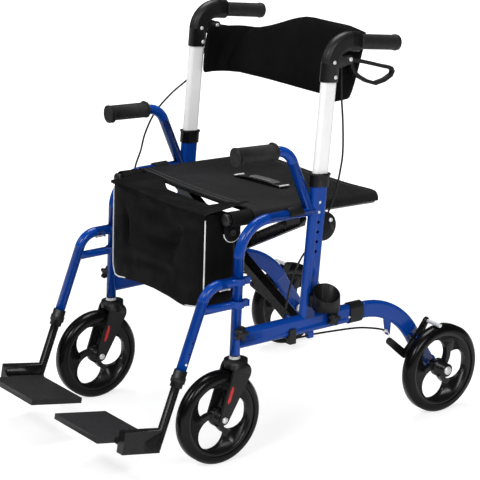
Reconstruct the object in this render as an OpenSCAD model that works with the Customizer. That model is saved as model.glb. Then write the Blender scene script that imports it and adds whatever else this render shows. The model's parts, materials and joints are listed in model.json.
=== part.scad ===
// Rollator transport chair: a folding walking frame with a seat, footrests and four wheels.
// Millimetres, floor at z = 0, front towards -Y, left side towards +X.

/* [Side frame] */
// half the distance between the side frames
frame_half = 239; // [234:1:246]
// outer diameter of the round tubes
tube_d = 22; // [21:0.5:24]
// wall of the round tubes
tube_wall = 1.5; // [1.2:0.1:2.2]
// height of the front leg's lower end
leg_bottom_z = 228; // [224:1:234]
// rearward lean of the front leg
leg_lean = 3; // [2:0.25:4]
// height of the top rail
top_rail_z = 505; // [498:1:512]
// bend radius of the top rail
top_bend_r = 75; // [60:1:85]
// height of the lower rail
lower_rail_z = 260; // [256:1:264]
// height of the lower rail's section
rail_h = 42; // [40:1:45]
// width of the lower rail's section
rail_w = 20; // [19:0.5:21]
// wall of the lower rail
rail_wall = 2; // [1.5:0.1:2.4]
// rear end of the lower rail
rail_end_y = 300; // [292:1:308]
// place of the upright at the lower rail
upright_y = 185.6; // [180:0.2:190]
// rearward lean of the upright
upright_lean = 5.8; // [5:0.2:6.6]
// depth of the upright's section
upright_d = 40; // [37:0.5:42]
// width of the upright's section
upright_w = 20; // [19:0.5:21]
// wall of the upright
upright_wall = 1.4; // [1.1:0.1:1.8]
// height of the upright's top
upright_top_z = 554; // [546:1:562]
// distance between the height holes
hole_pitch = 21; // [18:0.5:22]
// diameter of the height holes
hole_d = 7; // [5:0.5:8]

/* [Arm rest] */
// height of the arm tube's front end
arm_z = 648; // [635:1:660]
// front end of the arm grip
arm_front_y = 1; // [-8:1:10]
// rear bend of the arm tube
arm_corner_y = 136; // [128:1:144]
// bend radius of the arm tube
arm_bend_r = 45; // [36:1:50]
// length of the arm grip
arm_grip_len = 100; // [80:1:105]
// diameter of the arm grip
arm_grip_d = 34; // [31:0.5:38]

/* [Handle] */
// height of the elbow's lower end
elbow_bottom_z = 772; // [764:1:780]
// height of the elbow's corner
elbow_corner_z = 856; // [850:1:862]
// depth of the elbow
elbow_d = 42; // [41:0.5:44]
// width of the elbow
elbow_w = 26; // [24:0.5:28]
// bend radius of the elbow
elbow_bend_r = 45; // [42:1:48]
// length of the elbow behind its corner
elbow_len = 70; // [66:1:76]
// downward slope of the hand grip
grip_slope = 7.4; // [5:0.2:9]
// length of the hand grip
grip_len = 105; // [90:1:115]
// diameter of the hand grip
grip_d = 32; // [29:0.5:35]
// thickness of the brake lever
lever_t = 12; // [10:0.5:13]
// thickness of the lever's bar
lever_bar = 8; // [6.5:0.5:9]
// diameter of the brake cable
cable_d = 4.4; // [3.6:0.2:4.8]

/* [Wheels] */
// wheel radius
wheel_r = 100; // [98:0.5:101]
// tyre width
tyre_w = 32; // [28:0.5:34]
// tyre thickness
tyre_t = 17; // [14:0.5:18]
// distance of the caster's axle before its stem
caster_trail = 43; // [40:1:45]
// half the space between the fork's legs
fork_gap = 19; // [18:0.5:20]
// thickness of the fork's legs
fork_t = 6; // [5:0.5:7]
// distance of the rear wheels outside the frame
rear_wheel_out = 41; // [39:0.5:42]
// bend radius of the rear leg
rear_bend_r = 165; // [160:1:170]
// bend angle of the rear leg
rear_bend = 58; // [56:0.5:60]
// start of the rear leg's bend behind the rail
rear_bend_gap = 35; // [33:1:40]
// play between brake shoe and tyre
shoe_gap = 2.6; // [2.5:0.1:3.5]

/* [Footrest] */
// height of the hanger on the leg
hanger_z = 385; // [378:1:392]
// reach of the hanger before the leg
hanger_y = 67.6; // [62:0.2:74]
// distance between the hanger and its strut
strut_drop = 48; // [42:1:52]
// slope of the hanger's lower part
hanger_slope = 22; // [20:0.5:24]
// length of the hanger's lower part
hanger_len = 186; // [176:1:196]
// bend radius of the hanger
hanger_bend_r = 45; // [38:1:48]
// length of the footplate
plate_len = 124; // [110:1:130]
// inner edge of the footplate
plate_inner = 47; // [44:1:60]
// thickness of the footplate
plate_t = 12; // [9:0.5:12]
// toe-up pitch of the footplate
plate_pitch = 10.4; // [8:0.2:12]
// height of the footplate's rear edge
plate_z = 87.5; // [84:0.5:92]

/* [Seat and brace] */
// distance of the seat rails inside the frame
seat_inset = 34; // [33:0.5:36]
// height of the seat rails at the brace
seat_rail_z = 502; // [499:1:505]
// rearward drop of the seat rails
seat_tilt = 1.8; // [1:0.1:2.4]
// diameter of the seat rails
seat_rail_d = 25.4; // [24:0.2:26]
// front edge of the seat
seat_front_y = 62; // [58:1:72]
// rear edge of the seat
seat_rear_y = 392; // [385:1:398]
// thickness of the seat
seat_t = 8; // [5:0.5:10]
// sag of the seat's middle
seat_sag = 5; // [2:0.5:8]
// distance of the brace's lower pivots inside the frame
brace_inset = 25; // [24:0.5:26]
// height of the brace's lower pivots
brace_z = 268; // [266:0.5:270]
// depth of the brace bars
bar_d = 25; // [22:0.5:25]
// thickness of the brace bars
bar_t = 20; // [18:0.5:20.5]
// place of the first brace bar
bar_a_y = 166; // [165:0.5:166]
// place of the second brace bar
bar_b_y = 188; // [188:0.5:189]

/* [Backrest, bag and cup] */
// lower edge of the backrest
back_z = 712; // [704:1:720]
// height of the backrest at its ends
back_end_h = 104; // [96:1:110]
// height of the backrest in the middle
back_mid_h = 149; // [140:1:156]
// depth of the backrest's curve
back_depth = 68; // [62:1:74]
// thickness of the backrest
back_t = 9; // [7:0.5:11]
// half the width of the bag
bag_half = 185; // [178:1:186]
// front of the bag
bag_front_y = -35; // [-45:1:-30]
// depth of the bag
bag_depth = 90; // [80:1:94]
// lower edge of the bag
bag_z = 300; // [292:1:320]
// height of the bag
bag_h = 220; // [200:1:224]
// outer diameter of the cane cup
cup_d = 58; // [50:1:58]
// height of the cane cup at its front
cup_h = 48; // [42:1:54]

/* [Hidden] */
rear_wheel_x = frame_half + rear_wheel_out;
seat_half = frame_half - seat_inset;
brace_half = frame_half - brace_inset;
$fn = 48;
weld_gap = 0.05;
slide_gap = 0.1;
turn_gap = 0.05;
move_gap = 0.3;
bend_lap = 1;
bend_grow = 0.006;
fabric_t = 2;
tube_r = tube_d / 2;
bore_r = tube_r - tube_wall;
upright_in_w = upright_w - 2 * upright_wall;
upright_in_d = upright_d - 2 * upright_wall;
handle_w = upright_in_w - 2 * slide_gap;
handle_d = upright_in_d - 2 * slide_gap;
handle_wall = 1.6;
handle_bottom_z = upright_top_z - 64;
collar_h = 28;
rail_in_h = rail_h - 2 * rail_wall;
rail_in_w = rail_w - 2 * rail_wall;
rear_h = rail_in_h - 2 * slide_gap;
rear_w = rail_in_w - 2 * slide_gap;
rear_wall = 1.6;
rear_start_y = rail_end_y - 95;
rear_bend_y = rail_end_y + rear_bend_gap;
rear_bend_end_y = rear_bend_y + rear_bend_r * sin(rear_bend);
rear_bend_end_z = lower_rail_z - rear_bend_r * (1 - cos(rear_bend));
rear_axle_y = rear_bend_end_y + (rear_bend_end_z - wheel_r) / tan(rear_bend);
rear_corner_y = rear_bend_y + rear_bend_r * tan(rear_bend / 2);
toe_y = -197 - plate_len * cos(plate_pitch) - plate_t * sin(plate_pitch);
datum_y = -(rear_axle_y + wheel_r + toe_y) / 2;
leg_corner_y = (top_rail_z - leg_bottom_z) * tan(leg_lean);
top_rail_end_y = upright_y + (top_rail_z - lower_rail_z) * tan(upright_lean) - (upright_d - upright_w) / 2;
axle_r = 4;
stem_r = 6;
stem_len = 36;
inner_tube_d = 2 * bore_r - 2 * slide_gap;
rail_r = seat_rail_d / 2;
rail_offset = bar_d / 2 + rail_r - 0.5;
brace_dx = brace_half + seat_half;
brace_dz = seat_rail_z - brace_z;
brace_reach = norm([brace_dx, brace_dz]);
brace_angle = atan2(brace_dz, brace_dx) - asin(rail_offset / brace_reach);
brace_len = sqrt(brace_reach * brace_reach - rail_offset * rail_offset);
brace_centre = brace_half / cos(brace_angle);
brace_mid_y = (bar_a_y + bar_b_y) / 2;
pin_r = 4;
bolt_r = 5;
bolt_from_y = bar_a_y - bar_t / 2;
bolt_to_y = bar_b_y + bar_t / 2;
wrap_r = rail_r + slide_gap;
cable_r = cable_d / 2;
cable_z = lower_rail_z - rail_h / 2 - 8;
cable_steps = 2;
lever_pivot = [39.7, -41.1];
lever_loop = [
    [9, -4],
    [41, -11],
    [95, -27],
    [117, -34],
    [117, -48],
    [74, -61],
    [28, -40],
    [11, -20],
    [9, -4]
];
lever_pin_r = 3;
elbow_end = [elbow_len * cos(grip_slope), -elbow_len * sin(grip_slope)];
arm_in = frame_half + 11.5;
arm_t = 4;
arm_r = 9;
shoe_r = 4.5;
shoe_y = rear_axle_y - 18;
shoe_z = wheel_r + sqrt(pow(wheel_r + shoe_r + shoe_gap, 2) - 18 * 18);
pivot_up = 81.4;
arm_pivot = [rear_axle_y - pivot_up * cos(rear_bend), wheel_r + pivot_up * sin(rear_bend)];
arm_end = arm_pivot + [-79, 9];
arm_corner = arm_pivot + [-35, -30];
tab_reach = rear_bend_r - rear_h / 2 + 4;
tab_root = [rear_bend_y + tab_reach * sin(28), lower_rail_z - rear_bend_r + tab_reach * cos(28)];
rear_axle_r = 5;
hub_r = 15;
rim_r = wheel_r - tyre_t;
hub_in = 21;
hub_out = 27;
head_t = 3.7;
knob_screw_r = 4;
knob_rear = [245, lower_rail_z + 3];
knob_front_z = leg_bottom_z + 50;
plate_y = -197;
hinge_x = frame_half - 18;
hinge_r = 3;
ear_r = 5.5;
block_half = 11;
strap_half = 82;
strap_y = 232;
back_y = upright_at(back_z) + 10;
back_w = frame_half - elbow_w / 2 - move_gap;
back_square = 5;
back_n = 24;
back_m = 6;
seat_n = 10;
cup_x = frame_half + upright_w / 2 + 2 + cup_d / 2;
cup_y = 207;
cup_z = 297;

// the node to draw

frame_blue = [0.08, 0.26, 0.63];
handle_white = [0.86, 0.87, 0.88];
part_black = [0.07, 0.07, 0.08];
tyre_black = [0.04, 0.04, 0.045];
cloth_black = [0.06, 0.06, 0.065];
bolt_silver = [0.75, 0.76, 0.78];

function unit(v) = v / norm(v);
function turn(a, b) = atan2(a.x * b.y - a.y * b.x, a.x * b.x + a.y * b.y);
function upright_at(z) = upright_y + (z - lower_rail_z) * tan(upright_lean);
function leg_at(z) = (z - leg_bottom_z) * tan(leg_lean);
function rail_at(y) = seat_rail_z - (y - brace_mid_y) * tan(seat_tilt);
elbow_corner = [upright_at(elbow_corner_z), elbow_corner_z];

// Moves a drawing of the left side to its place; s is -1 for the right side.
module side(s) {
    translate([0, datum_y, 0])
        mirror([s > 0 ? 0 : 1, 0, 0])
            children();
}

// Lays a drawing into the side plane: x runs back, y up and z outward.
module upright_plane(x = frame_half) {
    translate([x, 0, 0])
        rotate([90, 0, 90])
            children();
}

// Lays a drawing across the chair: x runs left, y up, and it ends at the given depth.
module across(y) {
    translate([0, y, 0])
        rotate([90, 0, 0])
            children();
}

// A section with an optional bore as its second child.
module section(grow) {
    difference() {
        scale(1 + grow)
            children(0);
        scale(1 - grow)
            children(1);
    }
}

// A section round one corner of a bent line.
module bend(corner, d, e, r) {
    a = turn(d, e);
    start = corner - d * r * tan(abs(a) / 2);
    centre = start + sign(a) * r * [-d.y, d.x];
    from = atan2(d.y, d.x) - sign(a) * 90;
    translate([centre.x, centre.y, 0])
        rotate([0, 0, a > 0 ? from : from + a])
            rotate_extrude(angle = abs(a))
                translate([r, 0])
                    section(bend_grow) {
                        children(0);
                        if ($children > 1)
                            children(1);
                    }
}

// A section along a bent line: its x lies in the plane of the line.
module bent(pts, r) {
    n = len(pts);
    for (i = [0 : n - 2]) {
        d = unit(pts[i + 1] - pts[i]);
        before = i == 0 ? 0 : r * tan(abs(turn(unit(pts[i] - pts[i - 1]), d)) / 2) - bend_lap;
        after = i == n - 2 ? 0 : r * tan(abs(turn(d, unit(pts[i + 2] - pts[i + 1]))) / 2) - bend_lap;
        start = pts[i] + d * before;
        translate([start.x, start.y, 0])
            rotate([0, 0, atan2(d.y, d.x)])
                rotate([90, 0, 90])
                    linear_extrude(norm(pts[i + 1] - pts[i]) - before - after)
                        section(0) {
                            children(0);
                            if ($children > 1)
                                children(1);
                        }
        if (i < n - 2)
            bend(pts[i + 1], d, unit(pts[i + 2] - pts[i + 1]), r) {
                children(0);
                if ($children > 1)
                    children(1);
            }
    }
}

module ring(outer, inner) {
    difference() {
        circle(outer);
        circle(inner);
    }
}

// An oval section: w along x, d along y.
module oval(w, d) {
    square([w, d - w], center = true);
    translate([0, (d - w) / 2])
        circle(d = w);
    translate([0, (w - d) / 2])
        circle(d = w);
}

module oval_ring(w, d, wall) {
    difference() {
        oval(w, d);
        oval(w - 2 * wall, d - 2 * wall);
    }
}

// A flat link with round ends.
module link(a, ra, b, rb) {
    u = unit(b - a);
    k = asin((ra - rb) / norm(b - a));
    p = u * sin(k) + [-u.y, u.x] * cos(k);
    q = u * sin(k) - [-u.y, u.x] * cos(k);
    translate(a)
        circle(ra);
    translate(b)
        circle(rb);
    polygon([a + p * ra, b + p * rb, b + q * rb, a + q * ra]);
}

module rounded(w, d, r) {
    square([w - 2 * r, d], center = true);
    square([w, d - 2 * r], center = true);
    for (x = [-1, 1])
        for (y = [-1, 1])
            translate([x * (w / 2 - r), y * (d / 2 - r)])
                circle(r);
}

// A place on the upright's axis, z along the axis.
module on_upright(z) {
    translate([frame_half, upright_at(z), z])
        rotate([-upright_lean, 0, 0])
            children();
}

// A place on the front leg's axis, z along the axis.
module on_leg(z) {
    translate([frame_half, leg_at(z), z])
        rotate([-leg_lean, 0, 0])
            children();
}

module upright_solid(grow) {
    on_upright(lower_rail_z)
        linear_extrude((upright_top_z - lower_rail_z) / cos(upright_lean))
            oval(upright_w + 2 * grow, upright_d + 2 * grow);
}

module leg_line() {
    upright_plane()
        bent([[0, leg_bottom_z], [leg_corner_y, top_rail_z], [top_rail_end_y, top_rail_z]], top_bend_r) {
            circle(tube_r);
            circle(bore_r);
        }
}

module rail_line() {
    translate([frame_half, leg_at(lower_rail_z), lower_rail_z])
        rotate([-90, 0, 0])
            linear_extrude(rail_end_y - leg_at(lower_rail_z))
                children();
}

module upright(s) {
    color(frame_blue)
        side(s)
            difference() {
                on_upright(lower_rail_z)
                    linear_extrude((upright_top_z - lower_rail_z) / cos(upright_lean))
                        oval_ring(upright_w, upright_d, upright_wall);
                rail_line()
                    oval(rail_w + 2 * weld_gap, rail_h + 2 * weld_gap);
                for (k = [0 : 5])
                    on_upright(upright_top_z)
                        translate([0, 0, -33 - k * hole_pitch])
                            rotate([0, 90, 0])
                                cylinder(d = hole_d, h = upright_w);
            }
}

module front_leg(s) {
    color(frame_blue)
        side(s)
            difference() {
                union() {
                    leg_line();
                    on_leg(leg_bottom_z)
                        cylinder(r = bore_r + 0.3, h = stem_len + 6);
                }
                upright_solid(weld_gap);
                translate([frame_half, 0, leg_bottom_z - 5])
                    cylinder(r = stem_r + turn_gap, h = stem_len + 6);
                translate([frame_half, leg_at(knob_front_z), knob_front_z])
                    rotate([0, 90, 0])
                        cylinder(r = knob_screw_r + turn_gap, h = 2 * tube_r);
            }
}

module lower_rail(s) {
    lug_y = s > 0 ? bar_a_y : bar_b_y;
    lug_in = bar_t / 2 + move_gap;
    color(frame_blue)
        side(s) {
            difference() {
                union() {
                    rail_line()
                        oval_ring(rail_w, rail_h, rail_wall);
                    translate([frame_half - 6, 187, cable_z - 5])
                        cube([12, 14, 13.8]);
                }
                on_leg(leg_bottom_z)
                    cylinder(r = tube_r + weld_gap, h = 100);
                translate([frame_half, knob_rear.x, knob_rear.y])
                    rotate([0, 90, 0])
                        cylinder(r = knob_screw_r + turn_gap, h = rail_w);
                translate([frame_half, rail_end_y - 6, lower_rail_z - 6])
                    rotate([0, 90, 0])
                        cylinder(r = 4.2, h = rail_w);
                translate([frame_half + 1, 180, cable_z])
                    rotate([-90, 0, 0])
                        cylinder(r = cable_r + 0.8, h = 28);
            }
            for (y = [lug_y - lug_in, lug_y + lug_in + 3])
                across(y)
                    linear_extrude(3) {
                        translate([brace_half, brace_z])
                            circle(10);
                        translate([brace_half, brace_z - 10])
                            square([frame_half - rail_w / 2 + 0.5 - brace_half, 20]);
                    }
            across(lug_y + lug_in + 1)
                translate([brace_half, brace_z, 0])
                    cylinder(r = pin_r, h = 2 * lug_in + 2);
        }
}

module arm_line() {
    upright_plane()
        bent([
            [arm_front_y + 4, arm_z],
            [arm_corner_y, arm_z - 6],
            [upright_at(top_rail_z) - upright_d / 2 - 1, top_rail_z + 3]
        ], arm_bend_r) {
            circle(tube_r);
            circle(bore_r);
        }
}

module arm_tube(s) {
    color(frame_blue)
        side(s)
            difference() {
                arm_line();
                upright_solid(weld_gap);
                across(top_rail_end_y + 40)
                    translate([frame_half, top_rail_z, 0])
                        cylinder(r = tube_r + weld_gap, h = 100);
                translate([frame_half - 20, top_rail_end_y - 40, top_rail_z - 30])
                    cube([40, 80, 34]);
            }
}

module arm_grip(s) {
    flange = 3;
    color(part_black)
        side(s)
            upright_plane()
                translate([arm_front_y + 4, arm_z, 0])
                    rotate([0, 0, -atan2(6, arm_corner_y - arm_front_y - 4)])
                        rotate([0, 90, 0])
                            translate([0, 0, -4])
                                difference() {
                                    union() {
                                        cylinder(d = arm_grip_d, h = arm_grip_len);
                                        cylinder(d = arm_grip_d + 2, h = flange);
                                        translate([0, 0, arm_grip_len - flange])
                                            cylinder(d = arm_grip_d + 2, h = flange);
                                    }
                                    translate([0, 0, 4 - weld_gap])
                                        cylinder(r = tube_r + weld_gap, h = arm_grip_len);
                                }
}

module upright_collar() {
    on_upright(upright_top_z)
        translate([0, 0, weld_gap])
            linear_extrude(collar_h)
                difference() {
                    oval(upright_w + 6, upright_d + 6);
                    oval(handle_w + 2 * slide_gap, handle_d + 2 * slide_gap);
                }
    on_upright(upright_top_z)
        translate([0, 0, collar_h - 4])
            linear_extrude(4)
                difference() {
                    oval(upright_w + 9, upright_d + 9);
                    oval(upright_w + 5, upright_d + 5);
                }
}

module rear_collar() {
    upright_plane()
        difference() {
            bent([[rail_end_y - 4, lower_rail_z], [rail_end_y + 30, lower_rail_z]], 1)
                rotate(90)
                    oval(rail_w + 6, rail_h + 5);
            bent([[rail_end_y - 10, lower_rail_z], [rail_end_y + weld_gap, lower_rail_z]], 1)
                rotate(90)
                    oval(rail_w + 2 * weld_gap, rail_h + 2 * weld_gap);
            bent([[rail_end_y - 5, lower_rail_z], [rail_end_y + 40, lower_rail_z]], 1)
                rotate(90)
                    oval(rear_w + 2 * weld_gap, rear_h + 2 * weld_gap);
        }
}

module seat_saddle(s) {
    groove_r = rail_r + fabric_t + 1;
    saddle_y = (s > 0 ? bar_b_y - 7 : bar_a_y) - bar_t / 2 - 3;
    difference() {
        union() {
            across(saddle_y)
                translate([frame_half, top_rail_z, 0])
                    cylinder(r = tube_r + 3.5, h = 35);
            translate([seat_half + 3, saddle_y - 35, rail_at(157) - 21])
                cube([frame_half - seat_half - 3, 35, 20]);
        }
        across(saddle_y + 5)
            translate([frame_half, top_rail_z, 0])
                cylinder(r = tube_r + weld_gap, h = 45);
        translate([frame_half - 2, saddle_y - 45, top_rail_z - 30])
            cube([40, 55, 28]);
        translate([seat_half, brace_mid_y, seat_rail_z])
            rotate([90 - seat_tilt, 0, 0])
                cylinder(r = groove_r, h = 120, center = true);
    }
}

module cable_guard() {
    difference() {
        translate([frame_half - 6, upright_at(466) + upright_d / 2, 466])
            rotate([0, 90, 0])
                cylinder(r = 31, h = 12);
        upright_solid(weld_gap);
        translate([frame_half - 20, upright_at(466) - 60, 400])
            rotate([-upright_lean, 0, 0])
                cube([40, 60, 140]);
    }
}

module cable_clip() {
    difference() {
        union() {
            translate([frame_half + rail_w / 2 + weld_gap, 131, cable_z - 5])
                cube([6, 16, 32]);
            translate([frame_half - 5, 131, cable_z - 5])
                cube([rail_w / 2 + 8, 16, 12]);
        }
        translate([frame_half - 2, 120, cable_z + 0.8])
            rotate([-90, 0, 0])
                cylinder(r = cable_r + 2, h = 40);
        translate([frame_half - 12, 120, cable_z - 2])
            cube([10, 40, 6]);
    }
}

module frame_mouldings(s) {
    color(part_black)
        side(s) {
            upright_collar();
            rear_collar();
            seat_saddle(s);
            cable_guard();
            cable_clip();
        }
}

module handle_tube(s) {
    color(handle_white)
        side(s)
            on_upright(handle_bottom_z)
                linear_extrude((elbow_bottom_z + 36 - handle_bottom_z) / cos(upright_lean))
                    oval_ring(handle_w, handle_d, handle_wall);
}

module handle_elbow(s) {
    pivot = elbow_corner + lever_pivot;
    cheek = elbow_w / 2 - 1;
    color(part_black)
        side(s) {
            difference() {
                union() {
                    upright_plane()
                        bent([
                            [upright_at(elbow_bottom_z), elbow_bottom_z],
                            elbow_corner,
                            elbow_corner + elbow_end
                        ], elbow_bend_r)
                            rotate(90)
                                oval(elbow_w, elbow_d);
                    upright_plane(frame_half - cheek)
                        linear_extrude(2 * cheek)
                            link(elbow_corner + [14, -44], 12, pivot, 9);
                }
                on_upright(handle_bottom_z)
                    linear_extrude((elbow_bottom_z + 36.1 - handle_bottom_z) / cos(upright_lean))
                        oval(handle_w + 2 * weld_gap, handle_d + 2 * weld_gap);
                upright_plane(frame_half - lever_t / 2 - move_gap)
                    linear_extrude(lever_t + 2 * move_gap)
                        translate(pivot)
                            circle(10.5);
            }
            upright_plane(frame_half - cheek - 0.5)
                linear_extrude(2 * cheek + 1)
                    translate(pivot)
                        circle(lever_pin_r);
        }
}

module hand_grip(s) {
    r = grip_d / 2;
    start = elbow_corner + elbow_end;
    color(part_black)
        side(s)
            upright_plane()
                translate([start.x, start.y, 0])
                    rotate([0, 0, -grip_slope])
                        translate([weld_gap, 0, 0])
                            rotate([0, 90, 0])
                                rotate_extrude()
                                    polygon([
                                        [0, 0],
                                        [r + 1, 0],
                                        [r, 4],
                                        [r, grip_len - 16],
                                        [r + 1.5, grip_len - 8],
                                        [r + 0.5, grip_len - 2],
                                        [r - 2, grip_len],
                                        [0, grip_len]
                                    ]);
}

// The outline of the lever's loop at a distance from its middle line.
lever_line = smooth(lever_loop);
function lever_edge(r) = [
    for (i = [0 : len(lever_line) - 2])
        let (n = len(lever_line) - 1, d = unit(lever_line[(i + 1) % n] - lever_line[(i + n - 1) % n]))
            lever_line[i] + r * [-d.y, d.x]
];

module brake_lever(s) {
    pivot = elbow_corner + lever_pivot;
    color(part_black)
        side(s)
            upright_plane(frame_half - lever_t / 2)
                translate(pivot)
                    difference() {
                        union() {
                            linear_extrude(lever_t)
                                circle(8.5);
                            translate([0, 0, 1])
                                linear_extrude(lever_t - 2)
                                    difference() {
                                        polygon(lever_edge(lever_bar / 2));
                                        polygon(lever_edge(-lever_bar / 2));
                                    }
                        }
                        translate([0, 0, -1])
                            linear_extrude(lever_t + 2)
                                circle(lever_pin_r + turn_gap);
                    }
}

// The line of a brake cable from the lever's housing to the brake arm.
cable_x = frame_half - upright_w / 2 - cable_r - 0.4;
cable_top = elbow_corner + [24, -58];
cable_near = [
    [frame_half, cable_top.x, cable_top.y],
    [frame_half - 1, 272, 768],
    [frame_half - 2, 274, 733],
    [frame_half - 3, 279, 680],
    [frame_half - 4, 281, 621],
    [frame_half - 6, 278, 585],
    [frame_half - 9, 268, 535],
    [cable_x, 254, 495],
    [cable_x, 232, 455],
    [cable_x, 205, 425],
    [cable_x, 180, 400],
    [cable_x, 160, 365],
    [cable_x, 148, 330],
    [cable_x, 142, 295],
    [cable_x, 136, 262],
    [cable_x, 128, 243],
    [frame_half - 7, 128, cable_z + 2]
];
cable_far = [
    [frame_half, cable_top.x, cable_top.y],
    [frame_half + 12, 268, 760],
    [frame_half + 28, 254, 715],
    [frame_half + 36, 236, 689],
    [frame_half + 37, 194, 663],
    [frame_half + 36, 148, 625],
    [frame_half + 35, 120, 581],
    [frame_half + 33, 106, 543],
    [frame_half + 30, 88, 505],
    [frame_half + 26, 82, 460],
    [frame_half + 22, 92, 400],
    [frame_half + 18, 108, 340],
    [frame_half + 16, 113, 290],
    [frame_half + 14, 114, 256],
    [frame_half + 13, 115, 242],
    [frame_half + 8, 119, cable_z + 1],
    [frame_half + 1, 127, cable_z]
];
cable_low = [
    [frame_half - 2, 139, cable_z],
    [frame_half, 160, cable_z],
    [frame_half + 1, 180, cable_z],
    [frame_half + 1, 205, cable_z],
    [frame_half + 3, 260, cable_z - 3],
    [frame_half + 6, 316, cable_z - 7],
    [frame_half + 9, 350, cable_z - 13],
    [arm_in, tab_root.x - 26, cable_z - 21],
    [arm_in + 1, tab_root.x - 8, cable_z - 29]
];

function spline(a, b, c, d, t) =
    0.5 * (2 * b + (c - a) * t + (2 * a - 5 * b + 4 * c - d) * t * t + (3 * b - a - 3 * c + d) * t * t * t);
function smooth(p) = [
    for (i = [0 : len(p) - 2])
        for (k = [0 : cable_steps - 1])
            spline(p[max(i - 1, 0)], p[i], p[i + 1], p[min(i + 2, len(p) - 1)], k / cable_steps),
    p[len(p) - 1]
];

module cord(p, r) {
    n = len(p);
    points = [
        for (i = [0 : n - 1])
            let (d = unit(p[min(i + 1, n - 1)] - p[max(i - 1, 0)]))
                let (u = unit(cross(d, [1, 0, 0])))
                    let (v = cross(d, u))
                        for (k = [0 : 7])
                            p[i] + r * (cos(45 * k) * u + sin(45 * k) * v)
    ];
    walls = [
        for (i = [0 : n - 2])
            for (k = [0 : 7])
                for (f = [0, 1])
                    let (a = 8 * i + k, b = 8 * i + (k + 1) % 8)
                        f == 0 ? [a, a + 8, b + 8] : [a, b + 8, b]
    ];
    ends = [
        [for (k = [0 : 7]) k],
        [for (k = [7 : -1 : 0]) 8 * (n - 1) + k]
    ];
    polyhedron(points, concat(walls, ends));
}

module brake_cable(s) {
    color(tyre_black)
        side(s)
            cord(smooth(concat(s > 0 ? cable_near : cable_far, cable_low)), cable_r);
}

module rear_leg(s) {
    color(frame_blue)
        side(s)
            difference() {
                union() {
                    upright_plane()
                        bent([
                            [rear_start_y, lower_rail_z],
                            [rear_corner_y, lower_rail_z],
                            [rear_axle_y, wheel_r]
                        ], rear_bend_r) {
                            rotate(90)
                                oval(rear_w, rear_h);
                            rotate(90)
                                oval(rear_w - 2 * rear_wall, rear_h - 2 * rear_wall);
                        }
                    upright_plane(frame_half - rear_w / 2 + 0.4)
                        linear_extrude(rear_w - 0.8)
                            translate([rear_axle_y, wheel_r])
                                circle(rear_h / 2 + 1);
                    upright_plane()
                        linear_extrude(arm_in + arm_t + 1 - frame_half)
                            translate(arm_pivot)
                                circle(pin_r);
                    upright_plane(arm_in + arm_t + move_gap)
                        linear_extrude(3)
                            translate(arm_pivot)
                                circle(7);
                    upright_plane(frame_half)
                        linear_extrude(rear_w / 2 - 1)
                            link(tab_root, 9, tab_root + [1, -33], 5);
                    translate([frame_half, rail_end_y - 6, lower_rail_z - 6])
                        rotate([0, 90, 0])
                            cylinder(r = 4, h = rail_w / 2 + 0.6);
                }
                upright_plane(frame_half - 20)
                    linear_extrude(40)
                        translate([rear_axle_y, wheel_r])
                            circle(rear_axle_r + weld_gap);
            }
}

// A star-headed clamp screw that points along x.
module star_knob(screw) {
    rotate([0, 90, 0]) {
        cylinder(r = knob_screw_r, h = screw + 1);
        translate([0, 0, screw])
            cylinder(r = 8, h = 3);
        translate([0, 0, screw + 2])
            cylinder(r = 10, h = 11);
        for (k = [0 : 4])
            rotate(72 * k + 18)
                translate([11.5, 0, screw + 3])
                    cylinder(r = 4.5, h = 9);
    }
}

module rear_knob(s) {
    color(part_black)
        side(s)
            translate([frame_half + rear_w / 2 + move_gap, knob_rear.x, knob_rear.y])
                star_knob(rail_wall + 1);
}

module front_knob(s) {
    color(part_black)
        side(s)
            translate([frame_half + bore_r - 5, leg_at(knob_front_z), knob_front_z])
                star_knob(tube_wall + 6);
}

// One of the three swirled openings between the wheel's curved spokes.
module swirl_opening(k) {
    reach = rim_r * 0.46;
    size = rim_r * 0.42;
    intersection() {
        difference() {
            circle(rim_r - 8);
            circle(hub_r + 5);
        }
        difference() {
            rotate(120 * k)
                translate([reach, 0])
                    circle(size);
            rotate(120 * k + 120)
                translate([reach, 0])
                    circle(size + 11);
        }
    }
}

// A spoked rim in its own place: the axle is z, hub faces at -a and b.
module rim(a, b, pin) {
    difference() {
        union() {
            translate([0, 0, -a])
                cylinder(r = hub_r, h = a + b);
            difference() {
                translate([0, 0, -tyre_w / 2 + 9])
                    cylinder(r = rim_r - 4, h = tyre_w - 18);
                for (k = [0 : 2])
                    translate([0, 0, -tyre_w])
                        linear_extrude(2 * tyre_w)
                            swirl_opening(k);
            }
            rotate_extrude()
                polygon([
                    [rim_r - 9, -tyre_w / 2 + 5],
                    [rim_r - 3, -tyre_w / 2 + 3],
                    [rim_r - weld_gap, -tyre_w / 2 + 3],
                    [rim_r - weld_gap, tyre_w / 2 - 3],
                    [rim_r - 3, tyre_w / 2 - 3],
                    [rim_r - 9, tyre_w / 2 - 5]
                ]);
        }
        translate([0, 0, -a - 1])
            cylinder(r = pin + slide_gap, h = a + b + 2);
    }
}

module tyre() {
    w = tyre_w / 2;
    rotate_extrude()
        difference() {
            translate([rim_r, -w])
                square([tyre_t, 2 * w]);
            translate([wheel_r, w])
                rotate(45)
                    square(11, center = true);
            translate([wheel_r, -w])
                rotate(45)
                    square(11, center = true);
        }
}

module rear_place(s) {
    side(s)
        translate([rear_wheel_x, rear_axle_y, wheel_r])
            rotate([90, 0, 90])
                children();
}

module caster_place(s) {
    side(s)
        translate([frame_half, -caster_trail, wheel_r])
            rotate([90, 0, 90])
                children();
}

module rear_rim(s) {
    color(part_black)
        rear_place(s)
            rim(hub_in, hub_out, rear_axle_r);
}

module rear_tyre(s) {
    color(tyre_black)
        rear_place(s)
            tyre();
}

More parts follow.
